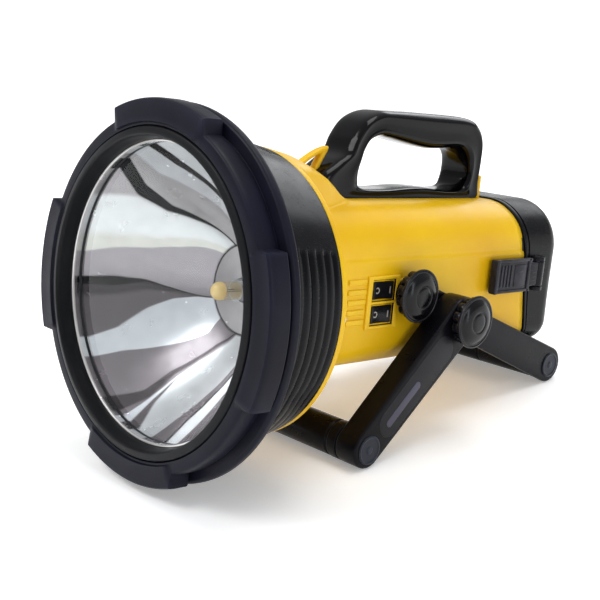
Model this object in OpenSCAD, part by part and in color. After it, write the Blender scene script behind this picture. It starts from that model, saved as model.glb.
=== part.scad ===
// Rechargeable hand lamp: a large round head on a box body with a carrying handle,
// and a folding stand made of a frame and a leg that knobs clamp on both sides.
// Millimetres. The lens faces -Y, +X is the switch side and the ground is z = 0.
// The origin is on the ground, under the middle of the lamp.
// The head is drawn about its own optical axis and the body about its own long axis.

/* [Head] */
// Clear radius of the lens
lens_open_r = 86; // [76:1:96]
// How much wider the opening is at its front edge
lip_flare = 2; // [1:0.5:3]
// Depth of the lens behind the front edge
lens_recess = 11.7; // [9:0.1:14]
// Thickness of the lens
lens_t = 3.5; // [2.5:0.5:5]
// Width of the bezel from the lens opening to the bumper's outer face
rim_w = 16; // [14:0.5:20]
// Height of the four bumper lugs
lug_h = 7.3; // [4:0.1:9]
// Arc that each lug covers, in degrees
lug_arc = 46; // [30:1:60]
// Length of the lugs along the axis
lug_len = 15; // [10:1:18]
// Length of the bumper along the axis
bumper_len = 24; // [22:1:30]
// Length of the collar behind the bumper
collar_len = 49.9; // [42:0.1:60]
// Radius of the collar where it meets the body
collar_back_r = 87.6; // [80:0.1:92]
// Wall of the collar
collar_wall = 3; // [2:0.5:4]
// Focal length of the reflector
focal_len = 28.4; // [26:0.1:31]
// Radius of the flat back plate of the reflector
neck_r = 28; // [24:1:32]
// Radius of the bulb's glass
bulb_r = 5.5; // [4:0.5:7]

/* [Body] */
// Width of the body
body_w = 104; // [96:1:124]
// Height of the body's top above its long axis
body_top = 59; // [54:1:70]
// Depth of the body's underside below its long axis
body_bottom = 41; // [38:1:48]
// Length of the body from the collar to its back edge, on the long axis
body_len = 218.1; // [205:0.1:262]
// Corner radius along the top edges
top_corner_r = 32; // [24:1:36]
// Corner radius along the bottom edges
bottom_corner_r = 14; // [8:1:18]
// Wall of the body shells
body_wall = 3; // [2:0.5:4]
// Lean of the back edge, in degrees
back_lean = 9.5; // [0:0.1:12]
// Length of the back cover beyond the body's back edge
cover_len = 42; // [36:0.1:52]
// How far the back cover stands proud of the body
cover_proud = 1.2; // [0.5:0.1:2]
// Width of the carrying handle
handle_w = 30; // [24:1:36]
// Height of the finger window in the handle
window_h = 29; // [27:1:36]
// Length of the finger window in the handle
window_len = 107; // [100:1:112]

/* [Stand] */
// Radius of the frame's round feet
frame_foot_r = 13; // [11:0.1:15]
// Radius of the leg's round feet
leg_foot_r = 12; // [11:0.1:15]
// Radius of the frame's arms around their pivot
frame_hub_r = 10.5; // [9:0.1:11]
// Radius of the leg's arms around their pivot
leg_hub_r = 14.5; // [12:0.1:15]
// Thickness of the frame's arms
frame_arm_t = 4.8; // [4:0.1:6]
// Thickness of the leg's arms
leg_arm_t = 17.7; // [14:0.1:20]
// Radius of the crossbars
bar_r = 11; // [8:0.1:11]
// Distance from the collar to the frame's pivot, along the body
frame_pivot_back = 91.5; // [90:0.1:108]
// Distance from the frame's pivot to the frame's feet, along the body
frame_reach = 165.6; // [150:0.1:180]
// Distance from the frame's pivot to the leg's pivot, along the body
leg_pivot_back = 35; // [33:0.1:40]
// Distance from the leg's pivot to the leg's feet, along the body
leg_reach = 79.6; // [70:0.1:90]
// Radius of the clamping knobs
knob_r = 17; // [14:0.1:17.4]
// Length of a knob from its arm to the top of its dome
knob_len = 11; // [10:0.1:14]
// Radius of the pivot bolts
bolt_r = 4; // [3:0.1:4.5]

/* [Fittings] */
// Length of a switch rocker along the body
rocker_len = 17.5; // [15:0.1:20]
// Height of a switch rocker
rocker_h = 11.6; // [10:0.1:13]
// Tilt of a rocker in its off position, in degrees
rocker_tilt = 6; // [3:0.5:7]
// Bore of the charging inlet
inlet_bore_r = 2.85; // [2.6:0.05:3.2]
// Radius of the strap holes
strap_hole_r = 3.6; // [3:0.1:4]
// Width, length and height of the battery
battery_size = [86, 101, 66]; // [60:1:110]

/* [Fit] */
// Gap around parts that fit together and do not move
fit_gap = 0.2; // [0.1:0.05:0.4]
// Gap beside parts that move
move_gap = 0.4; // [0.3:0.05:0.6]
// Radial gap of a pivot bolt in its bore
pivot_gap = 0.05; // [0.02:0.01:0.09]

/* [Hidden] */
$fn = 72;

// Slope of the body's long axis at rest and the extra rise of the optical axis
rest_tilt = 6.6;
head_rise = 1.6;
head_tilt = rest_tilt + head_rise;

// Head, measured along the optical axis from the front edge
bumper_front = 1;
bumper_r = lens_open_r + rim_w;
lug_r = bumper_r + lug_h;
edge_r = 2;
bumper_bore_r = lens_open_r + 8;
bezel_wall = bumper_bore_r - (lens_open_r + 4);
lens_r = lens_open_r + 3.8;
lens_back = lens_recess + lens_t;
gasket_t = 2;
reflector_wall = 1.5;
rim_back = lens_back + gasket_t + reflector_wall;
collar_front_r = bumper_r - 4.5;
neck_y = bumper_len + collar_len;
vertex_y = rim_back + lens_open_r * lens_open_r / (4 * focal_len);
plate_y = vertex_y - neck_r * neck_r / (4 * focal_len);
bulb_tip = vertex_y - focal_len - bulb_r;
bulb_base_r = bulb_r + 1.2;
holder_len = 18;
lip_t = 4;
join_y = neck_y + 51;

// Body, measured along its long axis
side_x = body_w / 2;
back_y = neck_y + body_len;
cover_back = back_y + cover_len;
cover_edge_r = 15;
spigot_len = 9;
flange_t = 3.5;
flange_spread = 24;
base_z = body_top;

// Handle
window_low = base_z + 5.5;
handle_top = window_low + window_h + 21.5;
window_front = neck_y + 84;
window_back = window_front + window_len;
handle_front = neck_y + 72;
handle_back = window_back + 14;
strap_t = 6;

// Stand: its four feet rest on the ground and hold the bumper's lug just above it
nose_lift = 3.2;
lug_drop = (lug_r - edge_r) * cos(head_tilt) + (bumper_front + lug_len - edge_r) * sin(head_tilt)
           + edge_r;
body_z = nose_lift + lug_drop + join_y * (sin(rest_tilt) - sin(head_tilt));
function foot_z(y, r) = (r - body_z + y * sin(rest_tilt)) / cos(rest_tilt);
pivot1 = [neck_y + frame_pivot_back, 4.9];
pivot2 = [pivot1[0] + leg_pivot_back, -10.6];
frame_foot = [pivot1[0] + frame_reach, foot_z(pivot1[0] + frame_reach, frame_foot_r)];
leg_foot = [pivot2[0] - leg_reach, foot_z(pivot2[0] - leg_reach, leg_foot_r)];
boss_t = 0.8;
frame_in = side_x + boss_t + move_gap;
frame_out = frame_in + frame_arm_t;
leg_in = frame_out + 0.3;
leg_out = leg_in + leg_arm_t;
head_drop = 4;

// Rear cover latches
latch_h = 24;
latch_z = 11;
latch_front = back_y - 43;
latch_pin_y = back_y + 10;
latch_t = 5.5;
latch_in = side_x + cover_proud + 0.8;
latch_pin_r = 1.8;
latch_pin_x = side_x + cover_proud + 1.8;
latch_hub_r = latch_in + latch_t - latch_pin_x;

// Switches
switch_y = neck_y + 70.9;
switch_z = [7.4, -7.7];
switch_plate_x = side_x + 0.8;

// The row is centred on the lamp's length
front_reach = lug_r * sin(head_tilt) - bumper_front * cos(head_tilt)
              - join_y * (cos(rest_tilt) - cos(head_tilt));
cover_corner_z = body_top + cover_proud - cover_edge_r;
back_reach = (cover_back - cover_edge_r) * cos(rest_tilt) + cover_corner_z * sin(rest_tilt)
             + cover_edge_r;
row_y = (front_reach - back_reach) / 2;

// Places the body's own frame, and the head's within it
module body_frame() translate([0, row_y, body_z]) rotate([-rest_tilt, 0, 0]) children();
module head_frame() body_frame() translate([0, join_y, 0]) rotate([-head_rise, 0, 0])
    translate([0, -join_y, 0]) children();

// Turns a profile of [radius, distance along the axis] about the Y axis
module turned(points, fn = 144) rotate([-90, 0, 0]) rotate_extrude($fn = fn) polygon(points);
// A cylinder along X from x0 to x1
module rod_x(y, z, r, x0, x1) translate([x0, y, z]) rotate([0, 90, 0]) cylinder(r = r, h = x1 - x0);
// A cylinder along Y from y0 to y1
module rod_y(x, z, r, y0, y1) translate([x, y0, z]) rotate([-90, 0, 0]) cylinder(r = r, h = y1 - y0);
// Extrudes a side view, drawn in Y and Z, across X
module across(x0, x1) translate([x0, 0, 0]) rotate([90, 0, 90]) linear_extrude(x1 - x0) children();
// Extrudes a section, drawn in X and Z, along Y
module along(y0, y1) translate([0, y1, 0]) rotate([90, 0, 0]) linear_extrude(y1 - y0) children();
module block(x0, x1, y0, y1, z0, z1) translate([x0, y0, z0]) cube([x1 - x0, y1 - y0, z1 - z0]);
// The part itself for side 1 and its mirror image for side -1
module on_side(side) if (side > 0) children(); else mirror([1, 0, 0]) children();

// A bar with round ends between two circles, drawn flat
module link2d(p, q, rp, rq) {
    turn = atan2(q[1] - p[1], q[0] - p[0]);
    open = acos((rp - rq) / norm(q - p));
    translate(p) circle(r = rp);
    translate(q) circle(r = rq);
    polygon([for (s = [1, -1]) p + rp * [cos(turn + s * open), sin(turn + s * open)],
             for (s = [-1, 1]) q + rq * [cos(turn + s * open), sin(turn + s * open)]]);
}

// Section of the body, drawn flat, moved inwards by an inset
module section2d(inset) {
    w = side_x - inset;
    top = body_top - inset;
    low = body_bottom - inset;
    rt = top_corner_r - inset;
    rl = bottom_corner_r - inset;
    for (s = [-1, 1]) {
        translate([s * (w - rt), top - rt]) circle(r = rt);
        translate([s * (w - rl), rl - low]) circle(r = rl);
    }
    translate([-w, rl - low]) square([2 * w, top - rt + low - rl]);
    translate([rt - w, 0]) square([2 * (w - rt), top]);
    translate([rl - w, -low]) square([2 * (w - rl), low]);
}

// Everything behind the leaning back edge
module behind(y) translate([0, y, 0]) rotate([back_lean, 0, 0]) block(-200, 200, 0, 400, -200, 200);

// Space behind the collar's back face, in the head's frame
module neck_cut() translate([0, join_y, 0]) rotate([-head_rise, 0, 0])
    block(-200, 200, neck_y - join_y - 200, neck_y - join_y, -200, 200);

module in_head() translate([0, join_y, 0]) rotate([-head_rise, 0, 0]) translate([0, -join_y, 0])
    children();

// ---- Head -----------------------------------------------------------------------------

module bezel_bumper() color([0.10, 0.10, 0.13]) head_frame() {
    back = bumper_len;
    difference() {
        turned([[bumper_bore_r, bumper_front + 1.5], [bumper_bore_r + 4, bumper_front],
                [bumper_r - edge_r, bumper_front + 0.5], [bumper_r, bumper_front + edge_r + 0.5],
                [bumper_r, back - edge_r], [bumper_r - edge_r, back], [bumper_bore_r, back]]);
        groove = bumper_front + lug_len + 1.5;
        turned([[bumper_r - 1.4, groove], [bumper_r + 5, groove],
                [bumper_r + 5, groove + 2], [bumper_r - 1.4, groove + 2]]);
    }
    for (k = [0:3]) rotate([0, 90 * k, 0]) bumper_lug();
}

// One lug, centred on the top of the bumper and rounded at its outer edges
module bumper_lug() {
    y0 = bumper_front;
    y1 = bumper_front + lug_len;
    rotate([0, -90 + lug_arc / 2, 0]) rotate([-90, 0, 0]) mirror([0, 1, 0])
        rotate_extrude(angle = lug_arc, $fn = 144) {
            polygon([[bumper_r - 3, y0 + 1], [lug_r - edge_r, y0], [lug_r - edge_r, y1], [bumper_r - 3, y1]]);
            translate([lug_r - edge_r - 1, y0 + edge_r]) square([edge_r + 1, lug_len - 2 * edge_r]);
            for (y = [y0 + edge_r, y1 - edge_r]) translate([lug_r - edge_r, y]) circle(r = edge_r);
        }
}

module bezel_ring() color([0.13, 0.13, 0.14]) head_frame()
    turned([[lens_open_r + lip_flare, 0], [bumper_bore_r - fit_gap - 1, 0],
            [bumper_bore_r - fit_gap, 1], [bumper_bore_r - fit_gap, bumper_len],
            [lens_r + fit_gap, bumper_len], [lens_r + fit_gap, lens_recess],
            [lens_open_r, lens_recess], [lens_open_r, lens_recess - 2]]);

module lens() color([0.85, 0.92, 0.95, 0.35]) head_frame()
    rod_y(0, 0, lens_r, lens_recess, lens_back, $fn = 144);

module lens_gasket() color([0.05, 0.05, 0.05]) head_frame() difference() {
    rod_y(0, 0, lens_r, lens_back, lens_back + gasket_t, $fn = 144);
    rod_y(0, 0, lens_open_r - 0.5, lens_back - 1, lens_back + gasket_t + 1, $fn = 144);
}

// Parabola of the reflector: distance along the axis at a radius
function dish_y(r) = vertex_y - r * r / (4 * focal_len);

module reflector() color([0.9, 0.9, 0.92]) head_frame() {
    steps = 16;
    bore = bulb_base_r + 1;
    inner = [for (k = [0:steps]) let (r = neck_r + (lens_open_r - neck_r) * k / steps) [r, dish_y(r)]];
    outer = [for (k = [steps - 1:-1:0]) inner[k] + [reflector_wall, reflector_wall]];
    turned(concat([[bore, plate_y]], inner, [[lens_open_r, rim_back - reflector_wall],
        [lens_r - fit_gap, rim_back - reflector_wall], [lens_r - fit_gap, rim_back],
        [lens_open_r + reflector_wall, rim_back]], outer, [[bore, plate_y + reflector_wall]]));
}

module bulb_glass() color([0.95, 0.8, 0.45, 0.5]) head_frame() {
    tip = bulb_tip + bulb_r;
    translate([0, tip, 0]) sphere(r = bulb_r);
    rod_y(0, 0, bulb_r, tip, plate_y - 6);
}

module bulb_base() color([0.75, 0.75, 0.72]) head_frame() {
    rod_y(0, 0, bulb_base_r, plate_y - 6, plate_y + 14);
    rod_y(0, 0, 9.5, plate_y + reflector_wall, plate_y + reflector_wall + 1.5);
}

module bulb_holder() color([0.85, 0.83, 0.78]) head_frame() difference() {
    front = plate_y + reflector_wall + 2.7;
    rod_y(0, 0, 14, front, front + holder_len);
    rod_y(0, 0, bulb_base_r + fit_gap, front - 1, plate_y + 14 + fit_gap);
    for (x = [-4, 4]) rod_y(x, 0, 1.3, plate_y, front + holder_len + 1);
}

// A cup-shaped spring plate that presses the bulb's flange against the reflector
module bulb_clip() color([0.7, 0.7, 0.7]) head_frame() {
    y = plate_y + reflector_wall;
    difference() {
        rod_y(0, 0, 20, y, y + 2.7);
        rod_y(0, 0, 18.5, y - 1, y + 1.5);
        rod_y(0, 0, bulb_base_r + fit_gap, y, y + 4);
    }
}

module bulb_leads() color([0.7, 0.1, 0.1]) head_frame() for (x = [-4, 4])
    rod_y(x, 0, 1.1, plate_y + 14 + fit_gap, plate_y + 40);

// The collar: a cone of shallow rings with a lip at the back that takes its screws
module head_collar() color([0.08, 0.08, 0.09]) head_frame() {
    front = bumper_len + fit_gap;
    step = (neck_y - front) / 6;
    drop = (collar_front_r - collar_back_r) / 6;
    rings = [for (k = [0:5], e = [0, 1])
             [collar_front_r - drop * (k + e * 0.55), front + step * (k + (e == 0 ? 0 : 0.96))]];
    nose_r = lens_r + fit_gap - 0.1;
    difference() {
        turned(concat([[nose_r - 1.6, rim_back], [nose_r, rim_back], [nose_r, front]], rings,
            [[collar_back_r, neck_y], [collar_back_r - 9, neck_y], [collar_back_r - 9, neck_y - 6],
             [collar_back_r - collar_wall, neck_y - 9], [collar_front_r - collar_wall - 2, front + 8],
             [nose_r - 1.6, front + 5]]));
        for (k = [0:5]) rotate([0, 60 * k + 30, 0])
            rod_y(0, collar_back_r - 5, 1.8 + pivot_gap, neck_y - 5.2, neck_y + 1);
    }
}

module collar_screws() color([0.6, 0.6, 0.62]) head_frame() for (k = [0:5])
    rotate([0, 60 * k + 30, 0]) {
        rod_y(0, collar_back_r - 5, 1.8, neck_y - 5, neck_y + flange_t);
        rod_y(0, collar_back_r - 5, 3.2, neck_y + flange_t, neck_y + flange_t + 2);
    }

// ---- Body -----------------------------------------------------------------------------

// Ramp from the body's top up to the collar, moved inwards by an inset
module ramp_solid(inset) intersection() {
    turned([[0, neck_y], [collar_back_r - inset, neck_y], [collar_back_r - 1 - inset, neck_y + 8],
            [collar_back_r - 6 - inset, neck_y + 28], [collar_back_r - 15 - inset, neck_y + 46],
            [body_top - inset, neck_y + 68 - inset], [0, neck_y + 68 - inset]]);
    block(inset - 42, 42 - inset, neck_y + inset, neck_y + 70, 0, 100);
}

// Outside of the flange and of the ramp behind it
module flange_solid() in_head() {
    turned([[0, neck_y], [collar_back_r, neck_y], [collar_back_r, neck_y + flange_t],
            [body_bottom + 24, neck_y + flange_t + 5], [body_bottom + 1, neck_y + flange_spread],
            [0, neck_y + flange_spread]]);
    ramp_solid(0);
}

// Outside of the two body shells, which run from the collar to the leaning back edge
module tube_outside() difference() {
    along(neck_y - 5, back_y + 30) section2d(0);
    behind(back_y);
    neck_cut();
}
module body_outside() {
    flange_solid();
    tube_outside();
}

// The flange that carries the collar, clamped around the front ends of the shells
module neck_flange() color([0.90, 0.72, 0.10]) body_frame() difference() {
    flange_solid();
    along(neck_y - 20, neck_y + 90) section2d(0);
    in_head() ramp_solid(body_wall);
    in_head() for (k = [0:5]) rotate([0, 60 * k + 30, 0]) {
        rod_y(0, collar_back_r - 5, 1.8 + fit_gap, neck_y - 5, neck_y + flange_t + 3);
        rod_y(0, collar_back_r - 5, 3.2 + fit_gap, neck_y + flange_t, neck_y + flange_t + 30);
    }
    strap_slot();
}

// Places of the bosses that join the shells, in Y and Z
shell_boss = [[neck_y + 36, body_top - 14], [neck_y + 36, 11 - body_bottom],
              [neck_y + 106, body_top - 14], [neck_y + 104, 11 - body_bottom],
              [back_y - 30, body_top - 14]];

// Shallow grip ribs moulded on the sides in front of the switches
module side_ribs() for (k = [0:4])
    block(side_x - 1, side_x + 0.8, neck_y + 40, neck_y + 56, 11.6 - 6.2 * k, 15.2 - 6.2 * k);

// Half of the body, drawn for +X, with the fittings of the side it is for
module shell(side) {
    difference() {
        union() {
            difference() {
                tube_outside();
                along(neck_y - 10, back_y + 40) section2d(body_wall);
            }
            intersection() {
                for (p = shell_boss) rod_x(p[0], p[1], 5, 0, side_x);
                along(neck_y, back_y + 20) section2d(body_wall / 2);
            }
            side_ribs();
            rod_x(pivot1[0], pivot1[1], frame_hub_r - 1, side_x - 1, side_x + boss_t);
            if (side > 0) block(side_x - 1, switch_plate_x, switch_y - 13.5, switch_y + 13.5, -17, 17);
        }
        block(-200, 0, neck_y - 20, back_y + 60, -200, 200);
        for (p = shell_boss) rod_x(p[0], p[1], 2 + pivot_gap, -1, side > 0 ? 22 : 200);
        if (side < 0) for (p = shell_boss) rod_x(p[0], p[1], 4.2, 12, 200);
        rod_x(pivot1[0], pivot1[1], bolt_r + fit_gap, side_x - 12, side_x + 5);
        if (side > 0) switch_cut();
        if (side < 0) rod_x(inlet_y, inlet_z, 6 + fit_gap, side_x - 10, side_x + 5);
        for (p = handle_bolt) translate([p[0], p[1], base_z - 20]) cylinder(r = 2 + fit_gap, h = 60);
        strap_slot();
    }
}

module body_right_shell() color([0.90, 0.72, 0.10]) body_frame() shell(1);
module body_left_shell() color([0.90, 0.72, 0.10]) body_frame() mirror([1, 0, 0]) shell(-1);

module shell_screws() color([0.6, 0.6, 0.62]) body_frame() for (p = shell_boss) {
    rod_x(p[0], p[1], 2, -12, 18);
    rod_x(p[0], p[1], 3.8, -15, -12);
}

// Handle, drawn from the side
front_round = 34;
back_round = 24;
module handle_outline() {
    front_c = [neck_y + 106, handle_top - front_round];
    back_c = [handle_back - back_round, handle_top - back_round];
    translate(front_c) circle(r = front_round);
    translate(back_c) circle(r = back_round);
    polygon([[handle_front - 6, base_z - 2], [neck_y + 48, base_z + 13], [neck_y + 72, base_z + 28.5],
             front_c + [-24, 24], [front_c[0], handle_top], [back_c[0], handle_top],
             [handle_back, back_c[1]], [handle_back - 1.5, base_z - 2]]);
}

// Finger window: a long hole, higher at its front, with the grip bulging down between
module window_outline() {
    r = window_h / 2 - 1;
    low = window_low;
    link2d([window_front + r, low + r], [window_back - r, low + r], r, r);
    link2d([window_front + r, low + r], [window_front + r + 8, low + window_h + 4 - r], r, r);
    link2d([window_back - r - 6, low + window_h - r], [window_back - r, low + r], r, r);
}

// Screws that hold the handle down, in X and Y
handle_bolt = [for (x = [-7, 7], y = [handle_front + 4, handle_back - 9]) [x, y]];

module handle() color([0.05, 0.05, 0.06]) body_frame() difference() {
    across(-handle_w / 2, handle_w / 2) difference() {
        handle_outline();
        window_outline();
    }
    body_outside();
    for (p = handle_bolt) translate([p[0], p[1], base_z - 5]) cylinder(r = 2 + pivot_gap, h = 17);
    strap_slot();
}

module handle_screws() color([0.6, 0.6, 0.62]) body_frame() for (p = handle_bolt) {
    translate([p[0], p[1], base_z - body_wall - 2]) cylinder(r = 2, h = body_wall + 13);
    translate([p[0], p[1], base_z - body_wall - 4]) cylinder(r = 3.6, h = 4 - fit_gap);
}

// Strap lug: a thin fin in the lamp's middle plane with a round hole
lug_at = [neck_y + 50.5, body_top + 21.5];
module lug_outline(grow) {
    r = strap_hole_r + 2.6 + grow;
    link2d(lug_at, lug_at + [11.5, 7], r, 2 + grow);
    link2d(lug_at, lug_at + [-12, -5], r, 3 + grow);
    link2d(lug_at, lug_at + [1, -10], r, 3 + grow);
}
module strap_slot() across(-strap_t / 2 - 0.05, strap_t / 2 + 0.05) lug_outline(0.05);
module strap_lug() color([0.90, 0.72, 0.10]) body_frame() across(-strap_t / 2, strap_t / 2) difference() {
    lug_outline(0);
    translate(lug_at) circle(r = strap_hole_r);
}

// Upright rib that the handle's heel bears against
module handle_heel() color([0.90, 0.72, 0.10]) body_frame() across(-13, 13)
    polygon([[handle_back, base_z], [handle_back + 3.5, base_z], [handle_back + 2, base_z + 16],
             [handle_back, base_z + 16]]);

// ---- Power ----------------------------------------------------------------------------

battery_back = cover_back - 27;
battery_low = 8.8 - body_bottom;
battery_front = battery_back - battery_size[1];

module battery() color([0.15, 0.15, 0.17]) body_frame()
    block(-battery_size[0] / 2, battery_size[0] / 2, battery_back - battery_size[1], battery_back,
          battery_low, battery_low + battery_size[2]);

module battery_pads() color([0.3, 0.3, 0.3]) body_frame() {
    for (s = [-1, 1]) on_side(s) block(10, 30, battery_front + 5, battery_back - 40,
        body_wall - body_bottom, battery_low);
    for (s = [-1, 1]) on_side(s) block(12, 22, battery_front + 20, battery_back - 60,
        battery_low + battery_size[2], body_top - body_wall);
}

module battery_terminals() color([0.8, 0.65, 0.2]) body_frame() for (x = [-30, 30])
    block(x - 3, x + 3, battery_front - 7, battery_front, 10, 10.8);

// A round wire between two points
module wire(p, q, r) {
    d = q - p;
    translate(p) rotate([0, acos(d[2] / norm(d)), atan2(d[1], d[0])]) cylinder(r = r, h = norm(d));
}
module wiring() color([0.7, 0.1, 0.1]) body_frame() for (s = [-1, 1]) {
    start = [s * 4, plate_y + 41, 2];
    bend = [s * 26, battery_front - 22, 10.4];
    end = [s * 30, battery_front - 7.8, 10.4];
    wire(start, bend, 1.3);
    wire(bend, end, 1.3);
    translate(bend) sphere(r = 1.9, $fn = 24);
}

// Opening for the two switches
module switch_cut() for (z = switch_z)
    block(side_x - 10, side_x + 8, switch_y - rocker_len / 2 - 1.5, switch_y + rocker_len / 2 + 1.5,
          z - rocker_h / 2 - 1.2, z + rocker_h / 2 + 1.2);

module switch_housings() color([0.04, 0.04, 0.05]) body_frame() for (z = switch_z) difference() {
    block(side_x - 20, switch_plate_x, switch_y - rocker_len / 2 - 1.5 + fit_gap,
          switch_y + rocker_len / 2 + 1.5 - fit_gap, z - rocker_h / 2 - 1.2 + fit_gap,
          z + rocker_h / 2 + 1.2 - fit_gap);
    block(side_x - 8, side_x + 20, switch_y - rocker_len / 2 - 0.7, switch_y + rocker_len / 2 + 0.7,
          z - rocker_h / 2 - 0.3, z + rocker_h / 2 + 0.3);
    translate([rocker_axis_x, switch_y, z - 10]) cylinder(r = 1.2 + pivot_gap, h = 20);
}

// A rocker turns on short stubs about an upright axis behind its face
rocker_axis_x = switch_plate_x - 4;
module rocker(z) translate([rocker_axis_x, switch_y, z]) rotate([0, 0, -rocker_tilt]) {
    translate([0, 0, -rocker_h / 2]) linear_extrude(rocker_h) {
        circle(r = 3);
        polygon([[0, 3], [0, -3], [3.2, -rocker_len / 2], [5.4, -rocker_len / 2], [4.3, 0],
                 [5.4, rocker_len / 2], [3.2, rocker_len / 2]]);
    }
    translate([0, 0, -rocker_h / 2 - 0.9]) cylinder(r = 1.2, h = rocker_h + 1.8);
}
module rocker_upper() color([0.03, 0.03, 0.03]) body_frame() rocker(switch_z[0]);
module rocker_lower() color([0.03, 0.03, 0.03]) body_frame() rocker(switch_z[1]);

inlet_y = neck_y + 106;
inlet_z = 30;
module charging_inlet() color([0.05, 0.05, 0.05]) body_frame() mirror([1, 0, 0]) difference() {
    rod_x(inlet_y, inlet_z, 6, side_x - 14, side_x - 0.2);
    rod_x(inlet_y, inlet_z, inlet_bore_r, side_x - 9.7, side_x + 5);
}

// ---- Stand ----------------------------------------------------------------------------

module frame_arm(side) on_side(side) difference() {
    across(frame_in, frame_out) link2d(pivot1, frame_foot, frame_hub_r, frame_foot_r);
    rod_x(pivot1[0], pivot1[1], bolt_r + pivot_gap, frame_in - 1, frame_out + 1);
    rod_x(pivot2[0], pivot2[1], bolt_r + fit_gap, frame_in - 1, frame_out + 1);
    rod_x(pivot2[0], pivot2[1], bolt_r + 3 + fit_gap, frame_in - 1, frame_in + 3);
    rod_x(frame_foot[0], frame_foot[1], 5 + fit_gap, frame_out - 3, frame_out + 1);
}
module frame_arm_right() color([0.07, 0.07, 0.07]) body_frame() frame_arm(1);
module frame_arm_left() color([0.07, 0.07, 0.07]) body_frame() frame_arm(-1);

module frame_crossbar() color([0.07, 0.07, 0.07]) body_frame()
    rod_x(frame_foot[0], frame_foot[1], bar_r, -frame_in, frame_in);

module leg_arm(side) on_side(side) difference() {
    across(leg_in, leg_out) link2d(pivot2, leg_foot, leg_hub_r, leg_foot_r);
    rod_x(pivot2[0], pivot2[1], bolt_r + pivot_gap, leg_in - 1, leg_out + 1);
    rod_x(leg_foot[0], leg_foot[1], 5 + fit_gap, leg_out - 3, leg_out + 1);
}
module leg_arm_right() color([0.07, 0.07, 0.07]) body_frame() leg_arm(1);
module leg_arm_left() color([0.07, 0.07, 0.07]) body_frame() leg_arm(-1);

module leg_crossbar() color([0.07, 0.07, 0.07]) body_frame()
    rod_x(leg_foot[0], leg_foot[1], bar_r, -leg_in, leg_in);

// Round plugs that close the ends of the arms
module foot_cap(p, x) {
    rod_x(p[0], p[1], 9, x, x + 1);
    rod_x(p[0], p[1], 5, x - 3, x);
}
module foot_caps_frame() color([0.11, 0.11, 0.12]) body_frame()
    for (s = [-1, 1]) on_side(s) foot_cap(frame_foot, frame_out);
module foot_caps_leg() color([0.11, 0.11, 0.12]) body_frame()
    for (s = [-1, 1]) on_side(s) foot_cap(leg_foot, leg_out);

// Bolts: fixed in the body or in the frame, with the arm turning on them
module pivot_bolts() color([0.6, 0.6, 0.62]) body_frame() for (s = [-1, 1]) on_side(s) {
    rod_x(pivot1[0], pivot1[1], bolt_r, side_x - 9, frame_out + knob_len - head_drop);
    rod_x(pivot1[0], pivot1[1], bolt_r + 4, side_x - 9, side_x - body_wall);
}
module leg_bolts() color([0.6, 0.6, 0.62]) body_frame() for (s = [-1, 1]) on_side(s) {
    rod_x(pivot2[0], pivot2[1], bolt_r, frame_in, leg_out + knob_len - head_drop);
    rod_x(pivot2[0], pivot2[1], bolt_r + 3, frame_in, frame_in + 3);
}

// A knob: a ribbed grip and a smooth domed top, bored for its insert
module knob(p, x) {
    skirt = knob_len * 0.55;
    ribs = 12;
    difference() {
        union() {
            rod_x(p[0], p[1], knob_r - 3.2, x, x + skirt);
            for (k = [0:ribs - 1]) rod_x(p[0] + (knob_r - 4.4) * cos(k * 360 / ribs),
                p[1] + (knob_r - 4.4) * sin(k * 360 / ribs), 2.6, x + 0.6, x + skirt, $fn = 24);
            translate([x, p[0], p[1]]) rotate([0, 90, 0]) rotate_extrude($fn = 96)
                polygon([[0, skirt - 0.5], [knob_r - 1, skirt - 0.5], [knob_r, skirt + 0.4],
                         [knob_r, skirt + 1.6], [knob_r - 2.4, knob_len - 1.6],
                         [knob_r - 6, knob_len - 0.6], [knob_r - 10, knob_len - 0.1], [0, knob_len]]);
        }
        rod_x(p[0], p[1], bolt_r + 2.5, x - 1, x + knob_len - head_drop + fit_gap);
    }
}
module knob_insert(p, x) difference() {
    rod_x(p[0], p[1], bolt_r + 2.5 - 0.02, x, x + knob_len - head_drop);
    rod_x(p[0], p[1], bolt_r + pivot_gap, x - 1, x + knob_len);
}
knob_x = [frame_out + 0.3, leg_out + 0.3];
module knob_frame_right() color([0.05, 0.05, 0.06]) body_frame() knob(pivot1, knob_x[0]);
module knob_frame_left() color([0.05, 0.05, 0.06]) body_frame() mirror([1, 0, 0]) knob(pivot1, knob_x[0]);
module knob_leg_right() color([0.05, 0.05, 0.06]) body_frame() knob(pivot2, knob_x[1]);
module knob_leg_left() color([0.05, 0.05, 0.06]) body_frame() mirror([1, 0, 0]) knob(pivot2, knob_x[1]);
module knob_insert_frame_right() color("goldenrod") body_frame() knob_insert(pivot1, knob_x[0]);
module knob_insert_frame_left() color("goldenrod") body_frame() mirror([1, 0, 0])
    knob_insert(pivot1, knob_x[0]);
module knob_insert_leg_right() color("goldenrod") body_frame() knob_insert(pivot2, knob_x[1]);
module knob_insert_leg_left() color("goldenrod") body_frame() mirror([1, 0, 0])
    knob_insert(pivot2, knob_x[1]);

// ---- Rear cover -----------------------------------------------------------------------

// Side view and plan of the cover, with its back corners rounded
module cover_side() {
    r = cover_edge_r;
    top = body_top + cover_proud;
    low = -body_bottom - cover_proud;
    translate([back_y - 60, low]) square([cover_back - r - back_y + 60, top - low]);
    translate([back_y - 60, low + r]) square([cover_back - back_y + 60, top - low - 2 * r]);
    for (z = [low + r, top - r]) translate([cover_back - r, z]) circle(r = r);
}
module cover_plan() {
    r = cover_edge_r;
    w = side_x + cover_proud;
    translate([-w, back_y - 60]) square([2 * w, cover_back - r - back_y + 60]);
    translate([r - w, back_y - 60]) square([2 * (w - r), cover_back - back_y + 60]);
    for (x = [r - w, w - r]) translate([x, cover_back - r]) circle(r = r);
}

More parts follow.
